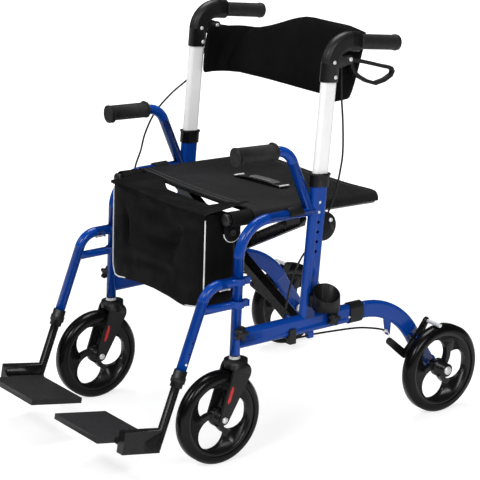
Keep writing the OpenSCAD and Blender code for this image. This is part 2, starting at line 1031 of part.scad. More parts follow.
module rear_axle(s) {
    inner = rear_wheel_x - frame_half + rear_w / 2 + weld_gap;
    color(bolt_silver)
        rear_place(s) {
            translate([0, 0, -inner - 5])
                cylinder(r = rear_axle_r, h = inner + 5 + hub_out + move_gap + 1);
            translate([0, 0, -inner - 6])
                cylinder(r = 9, h = 6);
            translate([0, 0, hub_out + move_gap])
                cylinder(r = 9, h = head_t);
        }
}

module brake_arm(s) {
    shoe = [shoe_y, shoe_z];
    color(part_black)
        side(s) {
            upright_plane(arm_in)
                linear_extrude(arm_t)
                    difference() {
                        union() {
                            link(arm_end, arm_r - 1, arm_corner, arm_r);
                            link(arm_corner, arm_r, arm_pivot, arm_r + 2);
                            link(arm_pivot, arm_r + 2, shoe, arm_r - 1);
                        }
                        translate(arm_pivot)
                            circle(pin_r + turn_gap);
                    }
            upright_plane(arm_in + 1)
                linear_extrude(rear_wheel_x + tyre_w / 2 + 4 - arm_in - 1)
                    translate(shoe)
                        circle(shoe_r);
        }
}

module caster_fork(s) {
    crown_z = leg_bottom_z - 10;
    axle = [-caster_trail, wheel_r];
    color(part_black)
        side(s) {
            difference() {
                union() {
                    translate([frame_half, 3, crown_z - 34])
                        cylinder(r = fork_gap + fork_t, h = 34);
                    for (x = [-fork_gap - fork_t, fork_gap])
                        upright_plane(frame_half + x)
                            linear_extrude(fork_t)
                                link([3, crown_z - 24], 22, axle, 11);
                }
                upright_plane(frame_half - fork_gap)
                    linear_extrude(2 * fork_gap)
                        translate(axle)
                            circle(wheel_r + 4);
                upright_plane(frame_half - 50)
                    linear_extrude(100)
                        translate(axle)
                            circle(axle_r + weld_gap);
            }
            translate([frame_half, 0, crown_z - 1])
                cylinder(r = 10, h = 9);
            translate([frame_half, 0, crown_z - 1])
                cylinder(r = stem_r, h = 11 + stem_len - 2);
        }
}

module caster_rim(s) {
    color(part_black)
        caster_place(s)
            rim(fork_gap - 0.6, fork_gap - 0.6, axle_r);
}

module caster_tyre(s) {
    color(tyre_black)
        caster_place(s)
            tyre();
}

module caster_axle(s) {
    half = fork_gap + fork_t + weld_gap;
    color(bolt_silver)
        caster_place(s) {
            translate([0, 0, -half - 1])
                cylinder(r = axle_r, h = 2 * half + 2);
            translate([0, 0, -half - 3])
                cylinder(r = 6.5, h = 3);
            translate([0, 0, half])
                cylinder(r = 6.5, h = 3);
        }
}

hanger_end = [
    -hanger_y - hanger_len * sin(hanger_slope),
    hanger_z - hanger_len * cos(hanger_slope)
];

// A place at the hanger's lower end: z runs down along the tube.
module on_hanger() {
    translate([frame_half, hanger_end.x, hanger_end.y])
        rotate([180 - hanger_slope, 0, 0])
            children();
}

module ring_clamp(z) {
    on_leg(z)
        translate([0, 0, -7]) {
            cylinder(r = tube_r + 4.5, h = 14);
            translate([-6, tube_r, 0])
                cube([12, 17, 14]);
        }
}

module footrest_hanger(s) {
    strut_z = hanger_z - strut_drop;
    strut_y = -hanger_y - strut_drop * tan(hanger_slope);
    color(frame_blue)
        side(s)
            difference() {
                union() {
                    upright_plane()
                        bent([
                            [leg_at(hanger_z), hanger_z],
                            [-hanger_y, hanger_z],
                            hanger_end
                        ], hanger_bend_r) {
                            circle(tube_r);
                            circle(bore_r);
                        }
                    difference() {
                        upright_plane()
                            bent([[leg_at(strut_z), strut_z], [strut_y, strut_z]], 1)
                                circle(tube_r - 2);
                        on_hanger()
                            translate([0, 0, -hanger_len])
                                cylinder(r = tube_r - 0.7, h = hanger_len);
                    }
                    ring_clamp(hanger_z);
                    ring_clamp(strut_z);
                }
                on_leg(leg_bottom_z + 50)
                    cylinder(r = tube_r + slide_gap, h = hanger_z);
            }
}

module footrest_clamp(s) {
    color(part_black)
        side(s)
            on_hanger()
                difference() {
                    union() {
                        translate([0, 0, -10])
                            cylinder(r = tube_r + 3, h = 14);
                        translate([0, 0, 4])
                            cylinder(r = tube_r + 4.5, h = 12);
                        translate([0, 0, 16])
                            cylinder(r = tube_r + 2, h = 10);
                    }
                    translate([0, 0, -11])
                        cylinder(r = tube_r + weld_gap, h = 11 + weld_gap);
                    translate([0, 0, -1])
                        cylinder(d = inner_tube_d + 2 * slide_gap, h = 40);
                }
}

// A place at the footplate's rear top edge: y runs back along the plate.
module on_plate() {
    translate([0, plate_y, plate_z])
        rotate([-plate_pitch, 0, 0])
            children();
}

module footrest_tube(s) {
    hinge_z = -plate_t / 2;
    color(part_black)
        side(s) {
            on_hanger()
                translate([0, 0, -70])
                    cylinder(d = inner_tube_d, h = 228);
            on_plate() {
                translate([frame_half - block_half, -84, -27])
                    cube([2 * block_half, 91, 47]);
                for (y = [-78, 7])
                    across(y)
                        linear_extrude(y < 0 ? 6 : 6.7)
                            link([hinge_x, hinge_z], ear_r, [frame_half - block_half + 3, hinge_z], ear_r);
                across(6)
                    translate([hinge_x, hinge_z, 0])
                        cylinder(r = hinge_r, h = 89);
            }
        }
}

module footplate(s) {
    hinge_z = -plate_t / 2;
    edge = hinge_x - plate_t / 2 - 0.5;
    color(part_black)
        side(s)
            on_plate()
                difference() {
                    union() {
                        translate([plate_inner, -plate_len, -plate_t])
                            cube([edge - plate_inner, plate_len, plate_t]);
                        translate([edge - 1, -78 + move_gap, -plate_t])
                            cube([hinge_x - edge + 1, 78 - 2 * move_gap, plate_t]);
                        across(-move_gap)
                            translate([hinge_x, hinge_z, 0])
                                cylinder(r = plate_t / 2, h = 78 - 2 * move_gap);
                    }
                    across(10)
                        translate([hinge_x, hinge_z, 0])
                            cylinder(r = hinge_r + turn_gap, h = 110);
                }
}

// A brace bar from the right lower pivot up to the left seat rail.
// A brace bar seen from the side: its upper end is cut back under the seat rail.
bar_side = [
    [0, -bar_d / 2],
    [brace_len - 6, -bar_d / 2],
    [brace_len + 6, 0],
    [brace_len + 6, bar_d / 2],
    [0, bar_d / 2]
];

module brace(y, turned) {
    translate([0, datum_y, 0])
        mirror([turned ? 1 : 0, 0, 0]) {
            difference() {
                translate([-brace_half, y, brace_z])
                    rotate([0, -brace_angle, 0]) {
                        difference() {
                            across(bar_t / 2)
                                linear_extrude(bar_t)
                                    polygon(bar_side);
                            translate([bar_d, -bar_t / 2 + 2, -bar_d / 2 + 2])
                                cube([brace_len - 2 * bar_d, bar_t - 4, bar_d - 4]);
                        }
                        rotate([90, 0, 0])
                            cylinder(d = bar_d, h = bar_t, center = true);
                        translate([brace_centre, 0, 0])
                            rotate([90, 0, 0])
                                cylinder(r = bolt_r + 3, h = bar_t, center = true);
                    }
                across(y + bar_t)
                    translate([-brace_half, brace_z, 0])
                        cylinder(r = pin_r + turn_gap, h = 2 * bar_t);
                across(y + bar_t)
                    translate([0, brace_z + brace_half * tan(brace_angle), 0])
                        cylinder(r = bolt_r + turn_gap, h = 2 * bar_t);
            }
            translate([seat_half, brace_mid_y, seat_rail_z])
                rotate([-90 - seat_tilt, 0, 0])
                    translate([0, 0, -brace_mid_y / cos(seat_tilt)])
                        linear_extrude((seat_rear_y - 5) / cos(seat_tilt))
                            ring(rail_r, rail_r - 2);
        }
}

module cross_brace_a() {
    color(part_black)
        brace(bar_a_y, true);
}

module cross_brace_b() {
    color(part_black)
        brace(bar_b_y, false);
}

module brace_pivot() {
    color(bolt_silver)
        translate([0, datum_y, brace_z + brace_half * tan(brace_angle)]) {
            across(bolt_to_y + 1)
                cylinder(r = bolt_r, h = bolt_to_y - bolt_from_y + 2);
            across(bolt_from_y - move_gap)
                cylinder(r = 9, h = 3.5);
            across(bolt_to_y + 3.5 + move_gap)
                cylinder(r = 9, h = 3.5);
        }
}

// The seat's own place: the rails' height at the brace, y back along the rails.
module on_seat() {
    translate([0, datum_y + brace_mid_y, seat_rail_z])
        rotate([-seat_tilt, 0, 0])
            children();
}

wrap_out = wrap_r + fabric_t;
function seat_top(x) = wrap_out - seat_sag * (1 - pow(x / seat_half, 2));
seat_edge = seat_half - sqrt(pow(wrap_r, 2) - pow(wrap_out - seat_t - seat_sag / 5, 2)) - 0.6;
seat_profile = concat(
    [for (i = [-seat_n : seat_n]) [seat_half * i / seat_n, seat_top(seat_half * i / seat_n)]],
    [for (a = [78 : -12 : -18]) [seat_half + wrap_out * cos(a), wrap_out * sin(a)]],
    [for (a = [-18 : 12 : 138]) [seat_half + wrap_r * cos(a), wrap_r * sin(a)]],
    [for (i = [seat_n : -1 : -seat_n]) [seat_edge * i / seat_n, seat_top(seat_edge * i / seat_n) - seat_t]],
    [for (a = [42 : 12 : 198]) [-seat_half + wrap_r * cos(a), wrap_r * sin(a)]],
    [for (a = [198 : -12 : 102]) [-seat_half + wrap_out * cos(a), wrap_out * sin(a)]]
);

module seat() {
    color(cloth_black)
        on_seat()
            across(seat_rear_y - brace_mid_y)
                linear_extrude(seat_rear_y - seat_front_y)
                    polygon(seat_profile);
}

function strap_lift(x) = seat_top(x) + 0.1 + 7 * pow(max(0, cos(110 * x / strap_half)), 2);
strap_x = [for (i = [-12 : 12]) strap_half * i / 12];
strap_profile = concat(
    [for (x = strap_x) [x, strap_lift(x)]],
    [for (i = [24 : -1 : 0]) [strap_x[i], strap_lift(strap_x[i]) + 3]]
);

module seat_strap() {
    color(part_black)
        on_seat()
            across(strap_y - brace_mid_y + 13)
                linear_extrude(26)
                    polygon(strap_profile);
}

// The backrest's band: a is the angle round its plan, v runs up and o inward through its thickness.
function back_plan(a) = [
    sign(cos(a)) * pow(abs(cos(a)), 2 / back_square) * back_w,
    pow(abs(sin(a)), 2 / back_square) * back_depth
];
function back_out(p) = unit([
    sign(p.x) * pow(abs(p.x / back_w), back_square - 1) / back_w,
    pow(p.y / back_depth, back_square - 1) / back_depth
]);
function back_high(a) = back_end_h + (back_mid_h - back_end_h) * pow(sin(a), 4);
function back_lean(a) = upright_lean + 13 * pow(max(0, sin(a)), 0.6);
function back_point(a, v, o) =
    let (p = back_plan(a), n = back_out(p), h = v * back_high(a), t = o * back_t)
        [
            p.x - n.x * t,
            back_y + p.y - n.y * t + h * tan(back_lean(a)),
            back_z + h
        ];
function back_thin(v, o) = o == 0 ? 0.3 - 0.3 * pow(sin(180 * v), 0.5) : 0.7 + 0.3 * pow(sin(180 * v), 0.5);
function back_at(i, j) = i * (back_m + 1) + j;

module backrest() {
    inner = (back_n + 1) * (back_m + 1);
    points = [
        for (o = [0, 1])
            for (i = [0 : back_n])
                for (j = [0 : back_m])
                    back_point(180 * i / back_n, j / back_m, back_thin(j / back_m, o))
    ];
    faces = concat(
        [
            for (i = [0 : back_n - 1])
                for (j = [0 : back_m - 1])
                    for (f = [0 : 3])
                        let (a = back_at(i, j), b = back_at(i + 1, j))
                            f == 0 ? [a, a + 1, b + 1] :
                            f == 1 ? [a, b + 1, b] :
                            f == 2 ? [inner + a, inner + b + 1, inner + a + 1] :
                            [inner + a, inner + b, inner + b + 1]
        ],
        [
            for (i = [0 : back_n - 1])
                for (f = [0 : 3])
                    let (a = back_at(i, 0), b = back_at(i + 1, 0), c = back_at(i, back_m), d = back_at(i + 1, back_m))
                        f == 0 ? [a, b, inner + b] :
                        f == 1 ? [a, inner + b, inner + a] :
                        f == 2 ? [c, inner + d, d] :
                        [c, inner + c, inner + d]
        ],
        [
            for (j = [0 : back_m - 1])
                for (f = [0 : 3])
                    let (a = j, b = back_at(back_n, j))
                        f == 0 ? [a, inner + a, inner + a + 1] :
                        f == 1 ? [a, inner + a + 1, a + 1] :
                        f == 2 ? [inner + b, b, b + 1] :
                        [inner + b, b + 1, inner + b + 1]
        ]
    );
    color(cloth_black)
        translate([0, datum_y, 0])
            polyhedron(points, faces);
}

module bag() {
    wall = 2.5;
    middle = bag_front_y + bag_depth / 2;
    loop_r = wrap_r + fabric_t;
    color(cloth_black)
        translate([0, datum_y, 0]) {
            translate([0, middle, bag_z])
                difference() {
                    linear_extrude(bag_h)
                        rounded(2 * bag_half, bag_depth, 16);
                    translate([0, 0, wall])
                        linear_extrude(bag_h)
                            rounded(2 * (bag_half - wall), bag_depth - 2 * wall, 16 - wall);
                }
            for (m = [0, 1])
                mirror([m, 0, 0])
                    difference() {
                        union() {
                            translate([seat_half, 52, rail_at(52)])
                                rotate([90 - seat_tilt, 0, 0])
                                    cylinder(r = loop_r, h = 44);
                            translate([bag_half - 1, 9, rail_at(30) - 18])
                                cube([seat_half - rail_r - bag_half + 1, 42, 18]);
                        }
                        translate([seat_half, brace_mid_y, seat_rail_z])
                            rotate([90 - seat_tilt, 0, 0])
                                cylinder(r = wrap_r, h = 240);
                    }
        }
}

module cane_cup() {
    base_z = cup_z;
    wall = 3;
    color(part_black)
        translate([0, datum_y, 0])
            difference() {
                union() {
                    translate([cup_x, cup_y, base_z])
                        cylinder(d = cup_d, h = cup_h);
                    translate([frame_half + upright_w / 2 + weld_gap, cup_y - 24, base_z + 2])
                        cube([12, 20, 26]);
                }
                translate([cup_x, cup_y, base_z + 4])
                    cylinder(d = cup_d - 2 * wall, h = cup_h);
                translate([cup_x, cup_y, base_z + cup_h - 13])
                    rotate([8, 24, 0])
                        translate([-cup_d, -cup_d, 0])
                            cube([2 * cup_d, 2 * cup_d, cup_d]);
            }
}

upright(1);  // left_upright
front_leg(1);  // left_front_leg
lower_rail(1);  // left_lower_rail
arm_tube(1);  // left_arm_tube
arm_grip(1);  // left_arm_grip
frame_mouldings(1);  // left_frame_mouldings
handle_tube(1);  // left_handle_tube
handle_elbow(1);  // left_handle_elbow
hand_grip(1);  // left_hand_grip
brake_lever(1);  // left_brake_lever
brake_cable(1);  // left_brake_cable
rear_leg(1);  // left_rear_leg
rear_knob(1);  // left_rear_knob
front_knob(1);  // left_front_knob
rear_rim(1);  // left_rear_rim
rear_tyre(1);  // left_rear_tyre
rear_axle(1);  // left_rear_axle
brake_arm(1);  // left_brake_arm
caster_fork(1);  // left_caster_fork
caster_rim(1);  // left_caster_rim
caster_tyre(1);  // left_caster_tyre
caster_axle(1);  // left_caster_axle
footrest_hanger(1);  // left_footrest_hanger
footrest_clamp(1);  // left_footrest_clamp
footrest_tube(1);  // left_footrest_tube
footplate(1);  // left_footplate
upright(-1);  // right_upright
front_leg(-1);  // right_front_leg
lower_rail(-1);  // right_lower_rail
arm_tube(-1);  // right_arm_tube
arm_grip(-1);  // right_arm_grip
frame_mouldings(-1);  // right_frame_mouldings
handle_tube(-1);  // right_handle_tube
handle_elbow(-1);  // right_handle_elbow
hand_grip(-1);  // right_hand_grip
brake_lever(-1);  // right_brake_lever
brake_cable(-1);  // right_brake_cable
rear_leg(-1);  // right_rear_leg
rear_knob(-1);  // right_rear_knob
front_knob(-1);  // right_front_knob
rear_rim(-1);  // right_rear_rim
rear_tyre(-1);  // right_rear_tyre
rear_axle(-1);  // right_rear_axle
brake_arm(-1);  // right_brake_arm
caster_fork(-1);  // right_caster_fork
caster_rim(-1);  // right_caster_rim
caster_tyre(-1);  // right_caster_tyre
caster_axle(-1);  // right_caster_axle
footrest_hanger(-1);  // right_footrest_hanger
footrest_clamp(-1);  // right_footrest_clamp
footrest_tube(-1);  // right_footrest_tube
footplate(-1);  // right_footplate
cross_brace_a();
cross_brace_b();
brace_pivot();
seat();
seat_strap();
backrest();
bag();
cane_cup();
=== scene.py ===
"""A folding rollator that turns into a transport chair, dressed for its portrait."""
import json
import math

import bmesh
import bpy
import numpy as np
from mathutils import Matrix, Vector

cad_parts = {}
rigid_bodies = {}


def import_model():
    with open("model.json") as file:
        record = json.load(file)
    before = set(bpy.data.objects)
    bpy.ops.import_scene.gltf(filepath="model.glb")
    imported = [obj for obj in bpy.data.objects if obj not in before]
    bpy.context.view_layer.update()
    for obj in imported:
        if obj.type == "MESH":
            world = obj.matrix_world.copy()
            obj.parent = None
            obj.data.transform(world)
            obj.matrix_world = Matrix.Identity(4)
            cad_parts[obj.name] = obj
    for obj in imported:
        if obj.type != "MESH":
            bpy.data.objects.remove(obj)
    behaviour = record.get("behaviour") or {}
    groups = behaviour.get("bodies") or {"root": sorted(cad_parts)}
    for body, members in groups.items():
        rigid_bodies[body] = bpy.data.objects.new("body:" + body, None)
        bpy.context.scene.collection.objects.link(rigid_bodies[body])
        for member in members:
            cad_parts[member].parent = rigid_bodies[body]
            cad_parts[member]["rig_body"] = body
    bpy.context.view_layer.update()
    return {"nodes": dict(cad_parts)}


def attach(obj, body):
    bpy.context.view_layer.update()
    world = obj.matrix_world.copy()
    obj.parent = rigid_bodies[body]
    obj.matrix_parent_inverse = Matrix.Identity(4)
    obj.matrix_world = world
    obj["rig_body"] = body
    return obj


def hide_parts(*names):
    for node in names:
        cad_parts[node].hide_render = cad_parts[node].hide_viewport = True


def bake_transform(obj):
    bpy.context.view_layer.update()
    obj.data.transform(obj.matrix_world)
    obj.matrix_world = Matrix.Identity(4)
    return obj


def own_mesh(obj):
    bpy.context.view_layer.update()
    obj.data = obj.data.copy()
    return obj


# The side frames: bent steel tube, welded at the joints and powder coated in gloss blue.
# The tubes stay as the CAD made them; the coat has a faint ripple and small shifts of gloss.
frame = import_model()
SIDES = {"left": 1.0, "right": -1.0}
MM = 0.001
DATUM = -0.152655
NOISE_LOW, NOISE_HIGH = 0.3, 0.7
CLOUD_SHARE, GLOSS_SHARE, GRAIN_DETAIL = 0.07, 0.15, 4.0
MERGE, EDGE_ANGLE = 0.00001, 32
BLUE = (0.0016, 0.044, 0.280, 1.0)
SHADED_BLUE = (0.0014, 0.040, 0.256, 1.0)


def leg_frame(points):
    """Millimetres from the front leg's foot, moved to metres in the part's own frame."""
    return np.asarray(points, float) * MM + np.array([0.0, DATUM, 0.0])


def finish_of(name, colour, rough, metal=0.0, specular=0.5):
    """A new Principled material, its even values set on the shader's own sockets."""
    mat = bpy.data.materials.new(name)
    mat.use_nodes = True
    shader = mat.node_tree.nodes["Principled BSDF"]
    shader.inputs["Base Color"].default_value = colour
    shader.inputs["Roughness"].default_value = rough
    shader.inputs["Metallic"].default_value = metal
    shader.inputs["Specular IOR Level"].default_value = specular
    return mat, mat.node_tree, shader


def mottle(tree, scale, detail=3.0):
    """Noise in the piece's own metres, the cloudiness that every real surface has."""
    where = tree.nodes.new("ShaderNodeTexCoord")
    noise = tree.nodes.new("ShaderNodeTexNoise")
    noise.inputs["Scale"].default_value = scale
    noise.inputs["Detail"].default_value = detail
    tree.links.new(where.outputs["Object"], noise.inputs["Vector"])
    return noise.outputs["Fac"]


def spread(tree, value, low, high):
    """The noise's usual range laid out between low and high."""
    span = tree.nodes.new("ShaderNodeMapRange")
    span.inputs["From Min"].default_value = NOISE_LOW
    span.inputs["From Max"].default_value = NOISE_HIGH
    span.inputs["To Min"].default_value = low
    span.inputs["To Max"].default_value = high
    tree.links.new(value, span.inputs["Value"])
    return span.outputs["Result"]


def tint(tree, shader, value, dark, light):
    """Base colour that drifts between two near tones with the value."""
    ramp = tree.nodes.new("ShaderNodeValToRGB")
    for stop, place, tone in zip(ramp.color_ramp.elements, (NOISE_LOW, NOISE_HIGH), (dark, light)):
        stop.position = place
        stop.color = tone
    tree.links.new(value, ramp.inputs["Fac"])
    tree.links.new(ramp.outputs["Color"], shader.inputs["Base Color"])


def relief(tree, shader, height, depth, strength=1.0):
    """Bump of the given depth in metres from a height of 0 to 1."""
    bump = tree.nodes.new("ShaderNodeBump")
    bump.inputs["Strength"].default_value = strength
    bump.inputs["Distance"].default_value = depth
    tree.links.new(height, bump.inputs["Height"])
    tree.links.new(bump.outputs["Normal"], shader.inputs["Normal"])


def grained(name, dark, light, rough, scale, depth, metal=0.0, specular=0.5):
    """A finish with cloudy colour, cloudy gloss and a fine relief of one scale."""
    mat, tree, shader = finish_of(name, light, rough[0], metal, specular)
    tint(tree, shader, mottle(tree, scale * CLOUD_SHARE), dark, light)
    tree.links.new(spread(tree, mottle(tree, scale * GLOSS_SHARE), *rough), shader.inputs["Roughness"])
    relief(tree, shader, mottle(tree, scale, GRAIN_DETAIL), depth)
    return mat


def dress(material, slot, *nodes):
    """Each CAD node's own shape as one closed skin: its loose triangles merged, rounded faces shaded
    smooth and edges over the edge angle kept sharp."""
    dressed = []
    for node in nodes:
        cad = frame["nodes"][node]
        mesh = cad.data.copy()
        merged = bmesh.new()
        merged.from_mesh(mesh)
        bmesh.ops.remove_doubles(merged, verts=merged.verts, dist=MERGE)
        merged.to_mesh(mesh)
        merged.free()
        mesh.materials.clear()
        mesh.materials.append(material)
        mesh.shade_smooth()
        mesh.set_sharp_from_angle(angle=math.radians(EDGE_ANGLE))
        piece = bpy.data.objects.new("dressed_" + node, mesh)
        bpy.context.scene.collection.objects.link(piece)
        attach(piece, cad["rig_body"])
        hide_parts(node)
        dressed.append(piece)
    return dressed


powder_coat = grained("powder_coat", SHADED_BLUE, BLUE, (0.15, 0.20), 260.0, 0.00003, specular=0.28)
dress(powder_coat, "frame_paint", *[
    side + piece for side in ("left_", "right_")
    for piece in ("upright", "front_leg", "lower_rail", "arm_tube", "rear_leg", "footrest_hanger")])

# The black mouldings on the side frames: upright collar, rear collar, seat saddle, half-moon cable
# guard and cable clip, all injection moulded in nylon with a fine spark-eroded grain, and screwed on.


def grey(tone, blue=0.0):
    """An opaque grey, with a touch more or less blue."""
    return (tone, tone, tone + blue, 1.0)


moulded_nylon = grained("moulded_nylon", grey(0.0080, 0.0004), grey(0.0098, 0.0004), (0.36, 0.44), 1400.0,
                        0.000012, specular=0.28)
dress(moulded_nylon, "black_plastic", "left_frame_mouldings", "right_frame_mouldings")

# The bright fasteners: zinc-plated steel screws, washers and rings. The head is a low dome with a
# socket, seated in the moulding; each leg foot has a plated ring above the caster's crown.
POLE_GAP, SLIVER = 0.000002, 0.000001
SIDEWAYS, STEEP, MOSTLY = (1.0, 0.0, 0.0), (0.0, 0.31, 0.95), 0.7


def skin(name, grid, material, body, sharp=40):
    """A piece from a grid of points, rows along it and columns round it: neighbours make quads, the
    columns close on themselves, and doubled points at poles are merged."""
    rows, cols = grid.shape[:2]
    index = np.arange(rows * cols).reshape(rows, cols)
    turn = np.roll(index, -1, axis=1)
    quads = np.stack([index[:-1], turn[:-1], turn[1:], index[1:]], axis=-1).reshape(-1, 4)
    mesh = bpy.data.meshes.new(name)
    mesh.from_pydata(grid.reshape(-1, 3).tolist(), [], quads.tolist())
    closed = bmesh.new()
    closed.from_mesh(mesh)
    bmesh.ops.remove_doubles(closed, verts=closed.verts, dist=POLE_GAP)
    bmesh.ops.dissolve_degenerate(closed, edges=closed.edges, dist=SLIVER)
    bmesh.ops.recalc_face_normals(closed, faces=closed.faces)
    closed.to_mesh(mesh)
    closed.free()
    mesh.materials.append(material)
    mesh.shade_smooth()
    mesh.set_sharp_from_angle(angle=math.radians(sharp))
    piece = bpy.data.objects.new(name, mesh)
    bpy.context.scene.collection.objects.link(piece)
    if body:
        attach(piece, body)
    return piece


def ring_of(count):
    """Even angles round one turn, the last short of the first."""
    return np.linspace(0.0, 2.0 * np.pi, count, endpoint=False)


def turned(centre, axis, profile, count=32):
    """A profile of (radius, height) pairs in millimetres turned about an axis through a centre."""
    axis = np.asarray(axis, float)
    axis = axis / np.linalg.norm(axis)
    aside = np.cross(axis, STEEP if abs(axis[0]) > MOSTLY else SIDEWAYS)
    aside = aside / np.linalg.norm(aside)
    around = ring_of(count)[None, :, None]
    radius, height = (np.asarray(profile, float).T * MM)[:, :, None, None]
    ring = np.cos(around) * aside + np.sin(around) * np.cross(axis, aside)
    return np.asarray(centre, float) + height * axis + radius * ring


zinc_plate = grained("zinc_plate", (0.66, 0.67, 0.68, 1.0), (0.80, 0.81, 0.82, 1.0), (0.26, 0.38), 900.0,
                     0.00002, metal=0.4)
SCREW_HEAD = [(0.0, 0.9), (1.9, 0.9), (2.0, 2.3), (2.9, 2.2), (3.9, 1.5), (4.4, 0.6), (4.5, 0.0),
              (4.5, -0.6), (0.0, -0.6)]
FOOT_RING = [(0.0, 0.0), (11.4, 0.0), (12.2, 0.7), (12.2, 1.6), (11.0, 2.2), (11.0, 4.4), (11.8, 4.9),
             (11.8, 5.7), (11.2, 6.2), (0.0, 6.2)]
LEG_X = 239.0
FOOT_RING_AT, GUARD_SCREW_AT = (LEG_X, -0.3, 219.6), (254.4, 236.0, 481.0)


def on_side(s, places):
    """Places given for the left side: left where s is 1, mirrored to the right where s is -1."""
    return leg_frame(np.asarray(places, float) * np.array([s, 1.0, 1.0]))


def plated(name, centre, axis, profile, body, count=32):
    """A small plated part on a body: its profile turned about an axis through its centre."""
    return skin(name, turned(centre, axis, profile, count), zinc_plate, body)


for side, s in SIDES.items():
    plated(side + "_foot_ring", on_side(s, FOOT_RING_AT), (0.0, 0.0, 1.0), FOOT_RING, side + "_caster")
    plated(side + "_guard_screw", on_side(s, GUARD_SCREW_AT), (s, 0.0, 0.0), SCREW_HEAD, side + "_side")

# The X brace: two flat steel bars in black enamel that cross on one pivot bolt. Each is welded to a
# lug tube at its foot and to a seat rail at its head. A paler tone along the edges is a painted
# highlight for the light that their rounding catches.
ENAMEL = (grey(0.0035, 0.0003), grey(0.0065, 0.0005), (0.24, 0.32), 500.0, 0.00001)
ENAMEL_SHINE = 0.28
# Painted highlight: the pale tone and the radius below lay a light line along the bars' edges, for the light
# their rounded edges catch.
EDGE_HIGHLIGHT, HIGHLIGHT_RADIUS = (0.20, 0.19, 0.17, 1.0), 0.0016
HIGHLIGHT_STARTS, HIGHLIGHT_ENDS = 0.93, 0.78


def paint_edge_highlight(mat, pale, radius):
    """Painted highlight: paler colour where the face turns within a radius of an edge, for the light that a
    rounded edge catches. The normal rounded over that radius is compared with the face's own, and the more
    they differ the more of the pale tone shows."""
    tree = mat.node_tree
    shader = tree.nodes["Principled BSDF"]
    rounded = tree.nodes.new("ShaderNodeBevel")
    rounded.samples = 16
    rounded.inputs["Radius"].default_value = radius
    face = tree.nodes.new("ShaderNodeNewGeometry")
    alike = tree.nodes.new("ShaderNodeVectorMath")
    alike.operation = "DOT_PRODUCT"
    tree.links.new(rounded.outputs["Normal"], alike.inputs[0])
    tree.links.new(face.outputs["Normal"], alike.inputs[1])
    highlighted = tree.nodes.new("ShaderNodeMapRange")
    highlighted.inputs["From Min"].default_value = HIGHLIGHT_STARTS
    highlighted.inputs["From Max"].default_value = HIGHLIGHT_ENDS
    tree.links.new(alike.outputs["Value"], highlighted.inputs["Value"])
    blend = tree.nodes.new("ShaderNodeMix")
    blend.data_type = "RGBA"
    blend.inputs["B"].default_value = pale
    under = shader.inputs["Base Color"].links[0].from_socket
    tree.links.new(highlighted.outputs["Result"], blend.inputs["Factor"])
    tree.links.new(under, blend.inputs["A"])
    tree.links.new(blend.outputs["Result"], shader.inputs["Base Color"])


black_enamel = grained("black_enamel", *ENAMEL, specular=ENAMEL_SHINE)
dress(black_enamel, "black_metal", "left_brake_arm", "right_brake_arm", "left_footrest_tube",
      "right_footrest_tube")
# The braces' enamel carries that painted highlight along its edges.
edge_lit_enamel = grained("edge_lit_enamel", *ENAMEL, specular=ENAMEL_SHINE)
paint_edge_highlight(edge_lit_enamel, EDGE_HIGHLIGHT, HIGHLIGHT_RADIUS)
dress(edge_lit_enamel, "black_metal", "cross_brace_a", "cross_brace_b")
dress(zinc_plate, "steel", "brace_pivot")

# The wheels: four alike, swirl-spoked nylon rims with a solid rubber tyre pressed on, two in swivelling
# black forks at the front and two behind on the rear legs, each on a plated bolt with a domed nut.
rim_nylon = grained("rim_nylon", grey(0.0045, 0.0003), grey(0.0070, 0.0004), (0.22, 0.28), 700.0, 0.000008,
                    specular=0.30)
tyre_rubber = grained("tyre_rubber", grey(0.0016), grey(0.0034), (0.20, 0.26), 600.0, 0.000012, specular=0.19)
for side in SIDES:
    dress(rim_nylon, "wheel_plastic", side + "_rear_rim", side + "_caster_rim")
    dress(tyre_rubber, "tyre", side + "_rear_tyre", side + "_caster_tyre")
    dress(zinc_plate, "steel", side + "_rear_axle", side + "_caster_axle")
    dress(moulded_nylon, "black_plastic", side + "_caster_fork")

# The reflectors: red acrylic lozenges pressed into both faces of each fork, above the axle, with a
# domed face and a straight edge.
reflector_red = grained("reflector_red", (0.42, 0.006, 0.008, 1.0), (0.56, 0.012, 0.012, 1.0), (0.14, 0.24),
                        900.0, 0.00003)
LOZENGE = [(0.0, 1.3), (0.70, 1.25), (0.92, 0.9), (1.0, 0.2), (1.0, -0.6), (0.0, -0.6)]
LOZENGE_ALONG, LOZENGE_HALF_LONG, LOZENGE_HALF_WIDE = (0.0, 12.7, 34.5), 18.4, 3.6
FORK_FACE, LOZENGE_Y, LOZENGE_Z = 25.0, -27.3, 151.4
LOZENGE_POWER = 0.66


def squared_off(value, power):
    """A sine or cosine made squarer: its size raised to a power, with its own sign."""
    return np.sign(value) * np.abs(value) ** power


def pill(centre, along, half_long, half_wide, out, profile, count=48):
    """A raised lozenge on a flat face: a cubic superellipse outline in the face, and a profile of
    (share of the outline, height in mm) pairs square to it."""
    along, out = np.asarray(along, float), np.asarray(out, float)
    along = along / np.linalg.norm(along)
    around = ring_of(count)
    edge = (np.outer(squared_off(np.cos(around), LOZENGE_POWER) * half_long, along)
            + np.outer(squared_off(np.sin(around), LOZENGE_POWER) * half_wide, np.cross(out, along)))
    share, height = np.asarray(profile, float).T[:, :, None, None]
    return np.asarray(centre, float) + MM * (share * edge[None] + height * out)


for side, s in SIDES.items():
    for face, name in ((1.0, "outer"), (-1.0, "inner")):
        plate = on_side(s, (LEG_X + face * FORK_FACE, LOZENGE_Y, LOZENGE_Z))
        lens = pill(plate, LOZENGE_ALONG, LOZENGE_HALF_LONG, LOZENGE_HALF_WIDE, (s * face, 0.0, 0.0), LOZENGE)
        skin(f"{side}_{name}_reflector", lens, reflector_red, side + "_caster")

